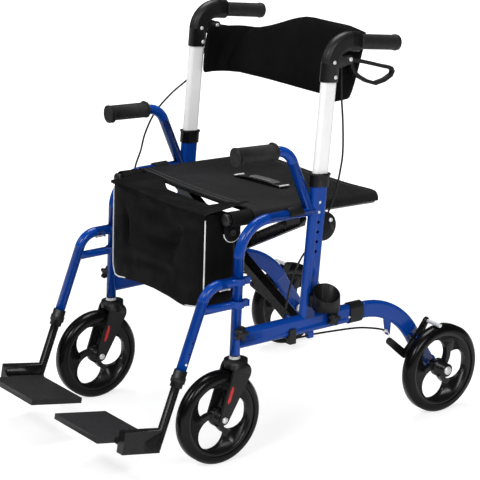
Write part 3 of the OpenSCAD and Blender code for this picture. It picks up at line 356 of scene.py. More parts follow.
# The handles: silver-white oval tubes that slide in the uprights, with a moulded elbow at the top, a
# rubber hand grip pushed over its stub, and a loop brake lever of the same nylon on one screw.
satin_tube = grained("satin_tube", grey(0.83), grey(0.88), (0.28, 0.36), 300.0, 0.00001)
grip_rubber = grained("grip_rubber", grey(0.0075, 0.0005), grey(0.0125, 0.0005), (0.50, 0.66), 900.0, 0.00010,
                      specular=0.30)
ELBOW_SCREWS, ELBOW_FACE = ((243.1, 813.1), (246.0, 782.0), (285.8, 814.9)), 12.2
for side, s in SIDES.items():
    dress(satin_tube, "handle_tube", side + "_handle_tube")
    dress(moulded_nylon, "black_plastic", side + "_handle_elbow", side + "_brake_lever")
    dress(grip_rubber, "grip_rubber", side + "_hand_grip")
    for face in (1.0, -1.0):
        for k, (y, z) in enumerate(ELBOW_SCREWS):
            plated(f"{side}_elbow_screw_{k}_{'out' if face * s > 0 else 'in'}",
                   leg_frame([s * LEG_X + face * ELBOW_FACE, y, z]), (face, 0.0, 0.0), SCREW_HEAD,
                   side + "_handle")

# The arm rests: closed-cell foam sleeves over the forward arms of the uprights, dull and soft edged, with
# a bead near each end and a capped front. The star knobs, foot clamps and cup are moulded nylon, and
# the footplates a nylon of coarser grain.
plate_nylon = grained("plate_nylon", grey(0.0120, 0.0005), grey(0.0165, 0.0005), (0.40, 0.50), 900.0, 0.00004,
                      specular=0.30)
arm_foam = grained("arm_foam", grey(0.0080, 0.0005), grey(0.0135, 0.0005), (0.55, 0.72), 1100.0, 0.00020,
                   specular=0.28)
ARM_CAP = [(0.0, 0.4), (9.6, 0.4), (10.4, 1.3), (15.4, 1.4), (17.0, 0.6), (17.7, -1.2), (17.7, -3.0),
           (0.0, -3.0)]
ARM_BEAD = [(0.0, -1.5), (17.6, -1.5), (18.3, -1.0), (18.5, 0.0), (18.3, 1.0), (17.6, 1.5), (0.0, 1.5)]
ARM_END, FRONT_BEAD, REAR_BEAD = 0.0015, 0.009, 0.005
for side in SIDES:
    for sleeve in dress(arm_foam, "foam", side + "_arm_grip"):
        points = np.array([v.co for v in sleeve.data.vertices])
        front, rear = [points[np.abs(points[:, 1] - end) < ARM_END].mean(axis=0)
                       for end in (points[:, 1].min(), points[:, 1].max())]
        along = (front - rear) / np.linalg.norm(front - rear)
        ends = (("cap", front, ARM_CAP), ("front_bead", front - FRONT_BEAD * along, ARM_BEAD),
                ("rear_bead", rear + REAR_BEAD * along, ARM_BEAD))
        for name, spot, profile in ends:
            skin(f"{side}_arm_{name}", turned(spot, along, profile, 40), arm_foam, side + "_side")
    dress(moulded_nylon, "black_plastic", side + "_rear_knob", side + "_front_knob", side + "_footrest_clamp")
    dress(plate_nylon, "black_plastic", side + "_footplate")
cup_nylon = grained("cup_nylon", grey(0.0030, 0.0002), grey(0.0046, 0.0002), (0.34, 0.42), 1400.0, 0.000012,
                    specular=0.24)
dress(cup_nylon, "black_plastic", "cane_cup")

# The footrest's small parts: the length holes down the hanger with the spring button in the lowest, and
# the latch pin under the hanger that locks its ring clamps on the leg.
# Painted shade: each open length hole is a shallow black dish on the hanger's face, its black standing in for
# the shade inside the bore.
hole_shade_black = grained("hole_shade_black", grey(0.0010, 0.0002), grey(0.0022, 0.0002), (0.5, 0.7), 700.0, 0.00003,
                     specular=0.1)
HANGER_BEND_Y, HANGER_BEND_Z, HANGER_LEAN = -67.6, 385.0, math.tan(math.radians(22.0))
HANGER_FACE, HANGER_HOLES, LATCH_PIN_AT = 250.0, (277.0, 256.0, 235.0), (LEG_X, -24.0, 371.8)
HOLE = [(0.0, 0.06), (2.3, -0.12), (2.8, -0.25), (2.8, -0.8), (0.0, -0.8)]
BUTTON = [(0.0, 2.2), (1.3, 2.0), (2.3, 1.3), (2.8, 0.3), (2.8, -0.8), (0.0, -0.8)]
PIN = [(0.0, 13.2), (1.6, 12.6), (2.6, 11.0), (2.6, 9.4), (1.6, 8.0), (1.2, 7.6), (1.2, -9.5), (2.0, -10.0),
       (2.0, -13.0), (0.0, -13.4)]
for side, s in SIDES.items():
    hanger_body = frame["nodes"][side + "_footrest_hanger"]["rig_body"]
    for k, z in enumerate(HANGER_HOLES):
        name = f"{side}_hanger_hole_{k}"
        spot = on_side(s, (HANGER_FACE, HANGER_BEND_Y - (HANGER_BEND_Z - z) * HANGER_LEAN, z))
        if z == HANGER_HOLES[-1]:
            plated(name, spot, (s, 0.0, 0.0), BUTTON, hanger_body, 24)
        else:
            skin(name, turned(spot, (s, 0.0, 0.0), HOLE, 24), hole_shade_black, hanger_body)
    plated(side + "_latch_pin", on_side(s, LATCH_PIN_AT), (0.0, 1.0, 0.0), PIN, hanger_body, 24)

# The brake cables: steel wire in a black vinyl sheath, from each lever down to the tab on its rear leg,
# slack beside the upright and clipped under the lower rail. The bare wire runs on to the brake arm.
SLANT = (0.36, 0.48, 0.80)
CABLE_RADIUS = 0.0022


def tube_along(path, radius, count=10):
    """A round cord along a path of points in metres: a ring square to the path at each point, with
    both ends drawn to a point."""
    along = np.gradient(path, axis=0)
    along = along / np.linalg.norm(along, axis=1, keepdims=True)
    aside = np.cross(along, SLANT)
    aside = aside / np.linalg.norm(aside, axis=1, keepdims=True)
    upward = np.cross(along, aside)
    around = ring_of(count)[None, :, None]
    ring = path[:, None] + radius * (np.cos(around) * aside[:, None] + np.sin(around) * upward[:, None])
    ends = np.repeat(path[[0, -1], None], count, axis=1)
    return np.concatenate([ends[:1], ring, ends[1:]])


def flowing(points, steps=8):
    """A smooth line through given points: Catmull-Rom cubics, each span in equal steps."""
    p = np.asarray(points, float)
    a, b, c, d = p[np.r_[0, 0:len(p) - 2]], p[:-1], p[1:], p[np.r_[2:len(p), len(p) - 1]]
    a, b, c, d = a[:, None], b[:, None], c[:, None], d[:, None]
    t = np.linspace(0.0, 1.0, steps, endpoint=False)[None, :, None]
    line = 0.5 * (2 * b + (c - a) * t + (2 * a - 5 * b + 4 * c - d) * t ** 2
                  + (3 * b - a - 3 * c + d) * t ** 3)
    return np.concatenate([line.reshape(-1, 3), p[-1:]])


cable_sheath = grained("cable_sheath", grey(0.006), grey(0.011), (0.36, 0.5), 900.0, 0.00004, specular=0.30)
UNDER_RAIL = [(240, 182, 231), (240, 205, 231), (242, 260, 228), (245, 316, 224), (248, 350, 218),
              (250.5, 380, 210), (251.5, 398, 202)]
CABLE_LINE = {
    "left": [(239, 270.1, 798), (238, 272, 768), (237, 274, 733), (236, 279, 680), (235, 281, 621),
             (233, 278, 585), (230, 268, 535), (226.4, 254, 495), (226.4, 232, 455), (226.4, 205, 425),
             (226.4, 180, 400), (226.4, 160, 365), (226.4, 148, 330), (226.4, 140.5, 295),
             (226.2, 133.5, 265), (226.4, 130.8, 250), (228.0, 133.6, 239.5), (231.0, 140.5, 233.0),
             (235, 150.5, 230.6), (238.3, 165, 230.6)],
    "right": [(239, 270.1, 798), (251, 268, 760), (267, 254, 715), (275, 236, 689), (276, 194, 663),
              (275, 148, 625), (274, 120, 581), (272, 106, 543), (269, 88, 505), (265, 82, 460),
              (261, 92, 400), (257, 106, 340), (255, 112, 290), (253.8, 112.6, 262), (252.3, 113.8, 248.5),
              (248.6, 117.6, 237.8), (243.0, 125.6, 231.6), (238.8, 137.0, 229.8), (237.8, 150.0, 230.2),
              (238.6, 165, 230.8)]}
for side, s in SIDES.items():
    route = on_side(s, flowing(CABLE_LINE[side] + UNDER_RAIL))
    cable = skin(side + "_cable", tube_along(route, CABLE_RADIUS), cable_sheath, None)
    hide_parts(side + "_brake_cable")
    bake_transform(cable)

# The brake ends: a plated ferrule crimped on each sheath, the bare wire down to the brake arm's end, a
# plated sleeve over the shoe rod, and the spring button that holds the rear leg in its rail.
FERRULE = [(0.0, 1.2), (1.6, 1.2), (3.0, 0.6), (3.2, -0.4), (3.2, -8.6), (2.7, -9.4), (0.0, -9.4)]
ROD_SLEEVE = [(0.0, 1.0), (3.6, 1.0), (4.58, 0.2), (4.58, -40.0), (0.0, -40.0)]
BARE_WIRE = UNDER_RAIL[-1:] + [(252.0, 402, 196), (252.8, 404, 188), (253.2, 404.3, 179)]
WIRE_RADIUS, WIRE_TOP, WIRE_FOOT = 0.0009, (252, 403, 198), (252, 403, 182)
ROD_END, LEG_BUTTON_AT = (300.0, 508.4, 205.6), (249.6, 294.0, 254.0)
for side, s in SIDES.items():
    plated(side + "_ferrule", on_side(s, UNDER_RAIL[-1]), (s, 18.0, -8.0), FERRULE, side + "_side", 24)
    wire = skin(side + "_brake_wire", tube_along(on_side(s, flowing(BARE_WIRE)), WIRE_RADIUS, 8), zinc_plate,
                None)
    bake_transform(wire)
    plated(side + "_shoe_sleeve", on_side(s, ROD_END), (s, 0.0, 0.0), ROD_SLEEVE, side + "_brake", 28)
    plated(side + "_rear_button", on_side(s, LEG_BUTTON_AT), (s, 0.0, 0.0), BUTTON, side + "_side", 24)

# The seat: a sling of coated black canvas drawn tight between the two seat rails and sleeved round
# each of them. Its front and rear edges are folded under and sewn down with two rows of stitches.
SEAT_HALF, SEAT_FRONT, SEAT_BACK = 205.0, 62.0, 392.0
SEAT_MID, RAIL_Z, SEAT_TILT = 177.0, 502.0, math.radians(1.8)
SLEEVE, SEAT_SAG, SEAT_THICK = 15.9, 5.0, 2.0
SLEEVE_FROM, SLEEVE_TO = -18.0, 90.0
LIP_BACK, LIP_DROP, LIP_FADE = [0.6, 0.0, 0.0, 1.2], [9.5, 6.0, 2.2, 0.5], (-2.0, 24.0)
HEM_HIGH, HEM_EDGE, SEAT_BED = 0.8, (19.0, 23.0), 0.4
WAVE_PERIOD, THREAD_WANDER, WEAVE_STRENGTH = 0.314, 0.6, 0.7
FADED_SCALE, FADED_DETAIL, RUBBED_SCALE = 14.0, 5.0, 40.0
PULL_HIGH, PULL_ACROSS, PULL_WANDER, PULL_BEND, PULL_ALONG, PULL_SLANT = 0.7, 31.0, 0.9, 47.0, 83.0, 120.0


def canvas(name, dark, light, pitch=0.0011, depth=0.00022, rough=(0.55, 0.72), specular=0.05):
    """Plain weave: the higher of two sine combs at right angles, multiplied by a third that stands on
    end, for a basket of raised crossings on faces of any direction."""
    mat, tree, shader = finish_of(name, light, rough[0], specular=specular)
    where = tree.nodes.new("ShaderNodeTexCoord")
    combs = []
    for turn in ((0.0, 0.0, 0.0), (0.0, 0.0, math.pi / 2), (0.0, math.pi / 2, 0.0)):
        lay = tree.nodes.new("ShaderNodeMapping")
        lay.inputs["Rotation"].default_value = turn
        comb = tree.nodes.new("ShaderNodeTexWave")
        comb.inputs["Scale"].default_value = WAVE_PERIOD / pitch
        comb.inputs["Distortion"].default_value = THREAD_WANDER
        tree.links.new(where.outputs["Object"], lay.inputs["Vector"])
        tree.links.new(lay.outputs["Vector"], comb.inputs["Vector"])
        combs.append(comb.outputs["Fac"])
    weave = combs[0]
    for operation, comb in zip(("MAXIMUM", "MULTIPLY"), combs[1:]):
        joined = tree.nodes.new("ShaderNodeMath")
        joined.operation = operation
        tree.links.new(weave, joined.inputs[0])
        tree.links.new(comb, joined.inputs[1])
        weave = joined.outputs["Value"]
    tint(tree, shader, mottle(tree, FADED_SCALE, FADED_DETAIL), dark, light)
    tree.links.new(spread(tree, mottle(tree, RUBBED_SCALE), *rough), shader.inputs["Roughness"])
    relief(tree, shader, weave, depth, WEAVE_STRENGTH)
    return mat


def cloth(name, grid, material, body, thick, offset=1.0):
    """An open sheet from a grid of points, given its thickness by Solidify and smoothed once."""
    rows, cols = grid.shape[:2]
    index = np.arange(rows * cols).reshape(rows, cols)
    quads = np.stack([index[:-1, :-1], index[:-1, 1:], index[1:, 1:], index[1:, :-1]], axis=-1).reshape(-1, 4)
    mesh = bpy.data.meshes.new(name)
    mesh.from_pydata(grid.reshape(-1, 3).tolist(), [], quads.tolist())
    mesh.materials.append(material)
    mesh.shade_smooth()
    piece = bpy.data.objects.new(name, mesh)
    bpy.context.scene.collection.objects.link(piece)
    thickness = piece.modifiers.new("thickness", "SOLIDIFY")
    thickness.thickness = thick * MM
    thickness.offset = offset
    soften = piece.modifiers.new("soften", "SUBSURF")
    soften.levels = 1
    soften.render_levels = 1
    if body:
        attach(piece, body)
    return piece


def ease(value, low, high):
    """0 below low, 1 above high, and a smooth S between."""
    t = np.clip((value - low) / (high - low), 0.0, 1.0)
    return t * t * (3.0 - 2.0 * t)


def on_rails(x, along, up):
    """A place over the seat rails: along runs back from the front leg, up is square to the rails."""
    along, up = np.broadcast_arrays(along, up)
    y = SEAT_MID + (along - SEAT_MID) * math.cos(SEAT_TILT) + up * math.sin(SEAT_TILT)
    z = RAIL_Z - (along - SEAT_MID) * math.sin(SEAT_TILT) + up * math.cos(SEAT_TILT)
    return leg_frame(np.stack(np.broadcast_arrays(x, y, z), axis=-1))


def seat_crown(x):
    """Height of the sling over the rails' line: the sleeve's top at the rails, sagging between."""
    return SLEEVE - SEAT_SAG * (1.0 - (x / SEAT_HALF) ** 2)


def pull_lines(x, y):
    """Faint waves of drawn cloth, in mm: a sine across that wanders along the seat, times a slow cosine
    on the slant, fading with the fourth power to nothing at the rails."""
    ridges = np.sin(x / PULL_ACROSS + PULL_WANDER * np.sin(y / PULL_BEND))
    waves = PULL_HIGH * ridges * np.cos(y / PULL_ALONG + x / PULL_SLANT)
    return waves * (1.0 - (np.minimum(np.abs(x), SEAT_HALF) / SEAT_HALF) ** 4)


def folds(*pieces):
    """Seat-borne cloth that spans the rails, its object transform written into its mesh."""
    for piece in pieces:
        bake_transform(piece)


seat_canvas = canvas("seat_canvas", grey(0.0080, 0.0006), grey(0.0124, 0.0008), specular=0.12)
sleeve_turn = np.radians(np.linspace(SLEEVE_FROM, SLEEVE_TO, 12)[:-1])
flat_x = np.linspace(SEAT_HALF, -SEAT_HALF, 61)
seat_x = np.concatenate([SEAT_HALF + SLEEVE * np.cos(sleeve_turn), flat_x,
                         -SEAT_HALF - SLEEVE * np.cos(sleeve_turn[::-1])])
seat_up = np.concatenate([SLEEVE * np.sin(sleeve_turn), seat_crown(flat_x),
                          SLEEVE * np.sin(sleeve_turn[::-1])])
seat_y = np.concatenate([np.add(SEAT_FRONT, LIP_BACK), np.linspace(SEAT_FRONT + 4.0, SEAT_BACK - 4.0, 58),
                         [SEAT_BACK - 1.0, SEAT_BACK]])[:, None]
lip = np.concatenate([LIP_DROP, np.zeros(60)])[:, None] * ease(SEAT_HALF - np.abs(seat_x), *LIP_FADE)
hem = HEM_HIGH * (1.0 - ease(np.minimum(seat_y - SEAT_FRONT, SEAT_BACK - seat_y), *HEM_EDGE))
sling_up = (seat_up + hem * (np.abs(seat_x) < SEAT_HALF) + pull_lines(seat_x, seat_y) - SEAT_BED - lip)
seat = cloth("seat_sling", on_rails(seat_x, seat_y, sling_up), seat_canvas, None, SEAT_THICK)
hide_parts("seat")
folds(seat)

# The pull strap: a stiff moulded strap stitched across the middle of the seat, arched so that a hand
# goes under it to lift and fold the chair, with a ribbed rubber pad on top and a bright clip pressed
# over each end.
STRAP_MID, STRAP_HALF, STRAP_Y, STRAP_WIDE = 14.0, 70.0, 230.0, 26.0
STRAP_SKEW, STRAP_LIFT, STRAP_THICK, ARCH_HIGH, ARCH_POWER = 0.17, 3.6, 3.0, 6.0, 0.8
PAD_FROM, PAD_TO, PAD_SHARE, PAD_LIFT, PAD_EDGE, PAD_THICK = -0.38, 0.66, 0.72, 5.0, 0.8, 1.6
RIB_HIGH, RIB_PITCH, RIB_FADE = 1.1, 5.2, 0.25
CLIP_HALF, CLIP_HALF_LONG, CLIP_HALF_HIGH, CLIP_LIFT = 3.0, 12.2, 2.2, 4.2
strap_vinyl = grained("strap_vinyl", grey(0.004, 0.0005), grey(0.008, 0.0005), (0.22, 0.34), 800.0, 0.00005)


def on_seat(x, across, up):
    """A place on the strap's skewed line over the seat."""
    return on_rails(x, STRAP_Y + STRAP_SKEW * x + across, seat_crown(x) + up)


def strap_arch(x):
    """Lift of the strap over its ends: a parabola raised to the arch's power, so that it starts steeply."""
    return ARCH_HIGH * np.clip(1.0 - ((x - STRAP_MID) / STRAP_HALF) ** 2, 0.0, 1.0) ** ARCH_POWER


strap_x = np.linspace(STRAP_MID - STRAP_HALF, STRAP_MID + STRAP_HALF, 171)[:, None]
across = np.linspace(-1.0, 1.0, 17)[None, :]
strap_up = STRAP_LIFT + strap_arch(strap_x) - across ** 6
strap = cloth("pull_strap", on_seat(strap_x, across * STRAP_WIDE / 2, strap_up), strap_vinyl, None,
              STRAP_THICK)
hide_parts("seat_strap")
# Painted sheen: the pad's grey stands in for the light that the dark rubber's ribs catch.
pad_painted_sheen = grained("pad_painted_sheen", grey(0.075, 0.002), grey(0.115, 0.003), (0.26, 0.4), 900.0, 0.00004)
pad_x = np.linspace(STRAP_MID + PAD_FROM * STRAP_HALF, STRAP_MID + PAD_TO * STRAP_HALF, 141)[:, None]
ribs = RIB_HIGH * np.cos(2.0 * np.pi * pad_x / RIB_PITCH) * ease(1.0 - np.abs(across), 0.0, RIB_FADE)
pad_up = PAD_LIFT + strap_arch(pad_x) + ribs - PAD_EDGE * across ** 4
pad_across = across * PAD_SHARE * STRAP_WIDE / 2
strap_pad = cloth("strap_pad", on_seat(pad_x, pad_across, pad_up), pad_painted_sheen, None, PAD_THICK)
folds(strap_pad, strap)
clip_nickel = grained("clip_nickel", grey(0.70, -0.01), grey(0.82, -0.01), (0.30, 0.42), 900.0, 0.00002,
                      metal=0.4)
clip_turn = ring_of(20)[None, :]
clip_run = np.array([-1.0, -1.0, -0.97, -0.6, 0.0, 0.6, 0.97, 1.0, 1.0])[:, None]
clip_round = np.array([0.0, 0.7, 1.0, 1.0, 1.0, 1.0, 1.0, 0.7, 0.0])[:, None]
for end, name in ((-1.0, "far"), (1.0, "near")):
    clip_x = STRAP_MID + end * (STRAP_HALF - CLIP_HALF)
    clip = on_seat(clip_x + CLIP_HALF * clip_round * np.cos(clip_turn), CLIP_HALF_LONG * clip_run,
                   CLIP_LIFT + CLIP_HALF_HIGH * clip_round * np.sin(clip_turn))
    folds(skin(name + "_strap_clip", clip, clip_nickel, None))

# The seat's seams: two rows of pale grey thread along the front hem and two along the rear one, each a
# single thread that rises out of the canvas once in every stitch.
seam_thread = grained("seam_thread", grey(0.05, 0.002), grey(0.09, 0.005), (0.5, 0.7), 1500.0, 0.00003,
                      specular=0.2)
STITCH, STITCH_HIGH, THREAD_RADIUS, THREAD_BED, SEAM_ENDS = 4.6, 0.6, 0.00055, 0.5, 6.0
SEAMS = {"front_inner": SEAT_FRONT + 18.0, "front_outer": SEAT_FRONT + 5.0, "rear_outer": SEAT_BACK - 5.0,
         "rear_inner": SEAT_BACK - 18.0}
stitch_x = np.arange(-SEAT_HALF + SEAM_ENDS, SEAT_HALF - SEAM_ENDS, STITCH)[:, None]
run = (stitch_x + np.linspace(0.0, STITCH, 9)[None, :-1]).reshape(-1)
lift = seat_crown(run) + THREAD_BED + STITCH_HIGH * np.sin(np.pi * (run - stitch_x[0, 0]) / STITCH) ** 2
for name, row_y in SEAMS.items():
    thread = tube_along(on_rails(run, row_y, lift), THREAD_RADIUS, 6)
    folds(skin("seam_" + name, thread, seam_thread, None))

# The backrest: a wide padded band of black canvas that hangs in a bow between the two handle elbows.
# Two skins over thin foam, bound along both edges, and fixed at each end by a sewn sleeve.
BACK_WIDE, BACK_Y, BACK_Z = 224.0, 241.5, 713.0
BACK_DEEP, BACK_THICK, BACK_ENDS, BACK_MIDDLE = 68.0, 9.0, 103.0, 149.0
BACK_SQUARE, LEFT_SQUARER, LEFT_DEEPER, LEFT_FOOT, TOP_NARROWER = 5.0, 6.0, 14.0, 9.0, 7.0
CORNER_SPAN, FOOT_SPAN, CLIMB_SPAN = (-0.3, 0.6), (0.55, 1.0), (-0.84, 0.06)
LEAN_ENDS, LEAN_MORE, SLACK_DEEP, SLACK_WAVES, SLACK_SLANT = 5.8, 18.0, 1.6, 5.5, 4.0
EDGE_ROUND, FACE_ROUND, EDGE_THIN, END_CLOSED, END_THIN = 0.35, 0.7, 0.42, 0.001, 0.9
PUFF_FROM, PUFF_PRESSURE, PUFF_LIMIT = 22.0, 2.0, 0.0035


def back_band(turn, rise, inward):
    """A place on the band: turn runs round the bow in radians, rise up it from 0 to 1, inward through
    it; the bow is a superellipse in plan, squarer and deeper at the left, and leans back and in as
    it rises. Its top climbs from the right end to the middle, and its foot a little at the left end."""
    c, s = np.cos(turn), np.sin(turn)
    left = ease(c, *CORNER_SPAN)
    square = BACK_SQUARE + LEFT_SQUARER * left
    deep = BACK_DEEP + LEFT_DEEPER * left
    wide = BACK_WIDE - TOP_NARROWER * rise ** 2
    px = squared_off(c, 2.0 / square)
    py = np.abs(s) ** (2.0 / square)
    nx = squared_off(px, square - 1.0) / wide
    ny = py ** (square - 1.0) / deep
    length = np.hypot(nx, ny)
    foot = LEFT_FOOT * ease(px, *FOOT_SPAN)
    high = BACK_ENDS + (BACK_MIDDLE - BACK_ENDS) * ease(px, *CLIMB_SPAN)
    up = foot + rise * (high - 2.0 * foot)
    lean = np.tan(np.radians(LEAN_ENDS + LEAN_MORE * np.abs(s) ** 0.6))
    slack = (SLACK_DEEP * np.sin(px * SLACK_WAVES + SLACK_SLANT * rise) * np.sin(np.pi * rise)
             * np.abs(s) ** 3)
    x = px * wide - nx / length * (inward + slack)
    y = BACK_Y + py * deep - ny / length * (inward + slack) + up * lean
    return leg_frame(np.stack(np.broadcast_arrays(x, y, BACK_Z + up), axis=-1))


def stuffed(piece, held, pressure, cap, frames=20):
    """Cloth blown up from inside while the held points stay: the simulated moves, none longer than the
    cap, are written into the mesh, and the modifier goes."""
    group = piece.vertex_groups.new(name="held")
    rest = np.array([v.co for v in piece.data.vertices])
    group.add([int(k) for k in np.flatnonzero(held(rest))], 1.0, "REPLACE")
    blow = piece.modifiers.new("blow", "CLOTH")
    blow.settings.vertex_group_mass = "held"
    blow.settings.use_pressure = True
    blow.settings.uniform_pressure_force = pressure
    blow.settings.effector_weights.gravity = 0.0
    blow.collision_settings.use_collision = False
    scene = bpy.context.scene
    for frame_number in range(1, frames + 1):
        scene.frame_set(frame_number)
    shaped = piece.evaluated_get(bpy.context.evaluated_depsgraph_get()).data
    moves = np.array([v.co for v in shaped.vertices]) - rest
    far = np.linalg.norm(moves, axis=1, keepdims=True)
    moves = moves * np.minimum(1.0, cap / np.maximum(far, 1e-9))
    piece.modifiers.remove(blow)
    piece.vertex_groups.remove(group)
    scene.frame_set(1)
    piece.data.vertices.foreach_set("co", (rest + moves).reshape(-1))
    piece.data.update()


back_canvas = canvas("back_canvas", grey(0.0018, 0.0002), grey(0.0034, 0.0002))
girth = ring_of(64)[None, :]
girth_rise = 0.5 - 0.5 * squared_off(np.cos(girth), EDGE_ROUND)
girth_in = squared_off(np.sin(girth), FACE_ROUND)
pad = (EDGE_THIN + (1.0 - EDGE_THIN) * np.abs(np.sin(np.pi * girth_rise)) ** 0.5) * BACK_THICK / 2
sweep = np.pi * ease(np.linspace(0.0, 1.0, 4001), 0.0, 1.0)
walk = np.linalg.norm(np.diff(back_band(sweep, 0.5, 0.0), axis=0), axis=1).cumsum()
even = np.interp(np.linspace(0.0, walk[-1], 140), np.r_[0.0, walk], sweep)
bow = np.concatenate([[0.0], even, [np.pi]])[:, None]
fullness = np.ones_like(bow)
fullness[[0, -1]] = END_CLOSED
fullness[[1, -2]] = END_THIN
band = back_band(bow, 0.5 + (girth_rise - 0.5) * fullness, BACK_THICK / 2 - girth_in * pad * fullness)
backrest = skin("backrest_band", band, back_canvas, "left_handle", sharp=180)
stuffed(backrest, lambda at: at[:, 1] < DATUM + (BACK_Y + PUFF_FROM) * MM, PUFF_PRESSURE, PUFF_LIMIT)
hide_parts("backrest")
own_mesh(backrest)

# The bag: a nylon tote hung in front of the seat from two webbing loops round the rail ends. Its front
# panel is edged with white piping, its mouth sags between the loops, and a loose flap covers it.
BAG_HALF, BAG_FRONT, BAG_DEEP = 182.0, -33.0, 86.0
BAG_FOOT, BAG_LIP, BAG_BACK = 305.0, 519.0, 505.0
SIDE_SQUARE, FRONT_SQUARE, CORNER_PULL = 0.24, 0.34, 0.16
FOOT_ARCH, ARCH_AT, ARCH_HALF, NEAR_LIFT, NEAR_SPAN = 12.0, -10.0, 135.0, 11.0, (90.0, 185.0)
MOUTH_WAVE, MOUTH_PITCH, MOUTH_SAG = 2.0, 26.0, 4.0
FOOT_NARROWER, FOOT_ROUND, FOOT_FORWARD = 0.05, 0.14, 9.0
FRONT_BELLY, SIDE_BELLY = 4.0, 3.0
CREASES = [((92.0, 465.0), (2.0, 370.0), 9.0, 17.0), ((88.0, 462.0), (60.0, 380.0), 12.0, 6.0),
           ((-114.0, 462.0), (-106.0, 398.0), 8.0, 14.0), ((96.0, 470.0), (165.0, 488.0), 12.0, 4.0),
           ((-60.0, 492.0), (60.0, 480.0), 13.0, 4.0), ((-160.0, 345.0), (-60.0, 372.0), 14.0, 2.5),
           ((40.0, 340.0), (150.0, 352.0), 15.0, 2.0)]


def gathers(*pieces):
    """Each bag piece is given a mesh of its own."""
    for piece in pieces:
        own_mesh(piece)


def crease(x, z, start, end, wide, deep):
    """A soft trough along a line in the front panel, deepest in the line's middle: a bell across the
    line, times a flattened sine along it."""
    ax, az = start
    bx, bz = end
    span = (bx - ax) ** 2 + (bz - az) ** 2
    t = np.clip(((x - ax) * (bx - ax) + (z - az) * (bz - az)) / span, 0.0, 1.0)
    away = np.hypot(x - ax - t * (bx - ax), z - az - t * (bz - az))
    return -deep * np.exp(-(away / wide) ** 2) * np.sin(np.pi * np.clip(t, 0.04, 0.96)) ** 0.6


def bag_place(turn, rise, out=0.0):
    """A place on the bag's walls: turn goes round the plan, a rectangle with round corners drawn as a
    high-power superellipse, and rise from foot to mouth; the foot arches between its corners, the front
    hangs a little forward at the foot, the panels belly out, and the front takes its creases."""
    c, s = np.cos(turn), np.sin(turn)
    x = squared_off(c, SIDE_SQUARE) * BAG_HALF
    y = squared_off(s, FRONT_SQUARE) * BAG_DEEP / 2
    middle = 1.0 - (x / BAG_HALF) ** 2
    front = np.clip(-2.0 * y / BAG_DEEP, 0.0, 1.0)
    foot = (BAG_FOOT + FOOT_ARCH * np.clip(1.0 - ((x - ARCH_AT) / ARCH_HALF) ** 2, 0.0, 1.0)
            + NEAR_LIFT * ease(x, *NEAR_SPAN))
    mouth = ((BAG_LIP + BAG_BACK) / 2 - (BAG_LIP - BAG_BACK) / 2 * 2.0 * y / BAG_DEEP
             + MOUTH_WAVE * np.sin(x / MOUTH_PITCH) - MOUTH_SAG * middle)
    z = foot + rise * (mouth - foot)
    round_foot = 1.0 - FOOT_NARROWER * np.maximum(0.0, 1.0 - rise / FOOT_ROUND) ** 2
    belly = np.sin(np.pi * np.clip(rise, 0.0, 1.0) ** 0.7) ** 0.8
    dents = sum(crease(x, z, *line) for line in CREASES)
    lean = -FOOT_FORWARD * (1.0 - rise) * front
    grow_y = belly * FRONT_BELLY * middle + front * dents * (1.0 - (x / BAG_HALF) ** 8) + out
    grow_x = belly * SIDE_BELLY * (1.0 - (2.0 * y / BAG_DEEP) ** 2) + out
    px = (x + np.sign(x) * grow_x * np.abs(c) ** SIDE_SQUARE) * round_foot
    py = BAG_FRONT + BAG_DEEP / 2 + y + np.sign(y) * grow_y * np.abs(s) ** FRONT_SQUARE + lean
    return leg_frame(np.stack(np.broadcast_arrays(px, py, z), axis=-1))


bag_nylon = canvas("bag_nylon", grey(0.0022, 0.0001), grey(0.0042, 0.0002), 0.0009, 0.00012, (0.45, 0.62))
BASE_STEPS, BASE_LIFT = (0.5, 0.96), (0.0, 0.0, 0.001)
LID_STEPS, LID_SINK = (0.97, 0.9, 0.5), (0.0, 0.0, 0.006)
round_turn = ring_of(240)
round_turn = (round_turn - CORNER_PULL * np.sin(4.0 * round_turn))[None, :]
walls = bag_place(round_turn, np.linspace(0.0, 1.0, 57)[:, None])
base = walls[:1].mean(axis=1, keepdims=True)
lid = walls[-1:].mean(axis=1, keepdims=True) - np.array(LID_SINK)
bag_grid = np.concatenate([np.repeat(base, walls.shape[1], axis=1),
                           base + (walls[:1] - base) * np.array(BASE_STEPS)[:, None, None] + BASE_LIFT,
                           walls,
                           lid + (walls[-1:] - lid) * np.array(LID_STEPS)[:, None, None],
                           np.repeat(lid, walls.shape[1], axis=1)])
bag = skin("bag_shell", bag_grid, bag_nylon, "seat_body", sharp=180)
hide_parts("bag")
gathers(bag)
piping_white = grained("piping_white", grey(0.66, -0.01), grey(0.80, -0.01), (0.45, 0.6), 1500.0, 0.00006)
PIPING_RADIUS, PIPING_OUT, PIPING_TURN, FOOT_RISE = 0.0015, 0.6, 0.62, 0.012
TUCKED_IN, TUCK_FAR, TUCK_NEAR = 5.0, (-125.0, -95.0), (95.0, 135.0)
FRONT_EDGES = {"near": 2.0 * np.pi - PIPING_TURN, "far": np.pi + PIPING_TURN}


def piping(name, turn, rise, out):
    """A round cord along a line on the bag's walls, standing out from them a little."""
    cord = tube_along(bag_place(turn, rise, out), PIPING_RADIUS)
    gathers(skin("bag_piping_" + name, cord, piping_white, "seat_body"))


for name, turn in FRONT_EDGES.items():
    piping(name, turn, np.linspace(0.02, 0.93, 40), PIPING_OUT)
foot_turn = np.linspace(FRONT_EDGES["far"], FRONT_EDGES["near"], 90)
foot_x = bag_place(foot_turn, 0.0)[:, 0] / MM
tucked = PIPING_OUT - TUCKED_IN * ease(foot_x, *TUCK_FAR) * (1.0 - ease(foot_x, *TUCK_NEAR))
piping("foot", foot_turn, FOOT_RISE, tucked)

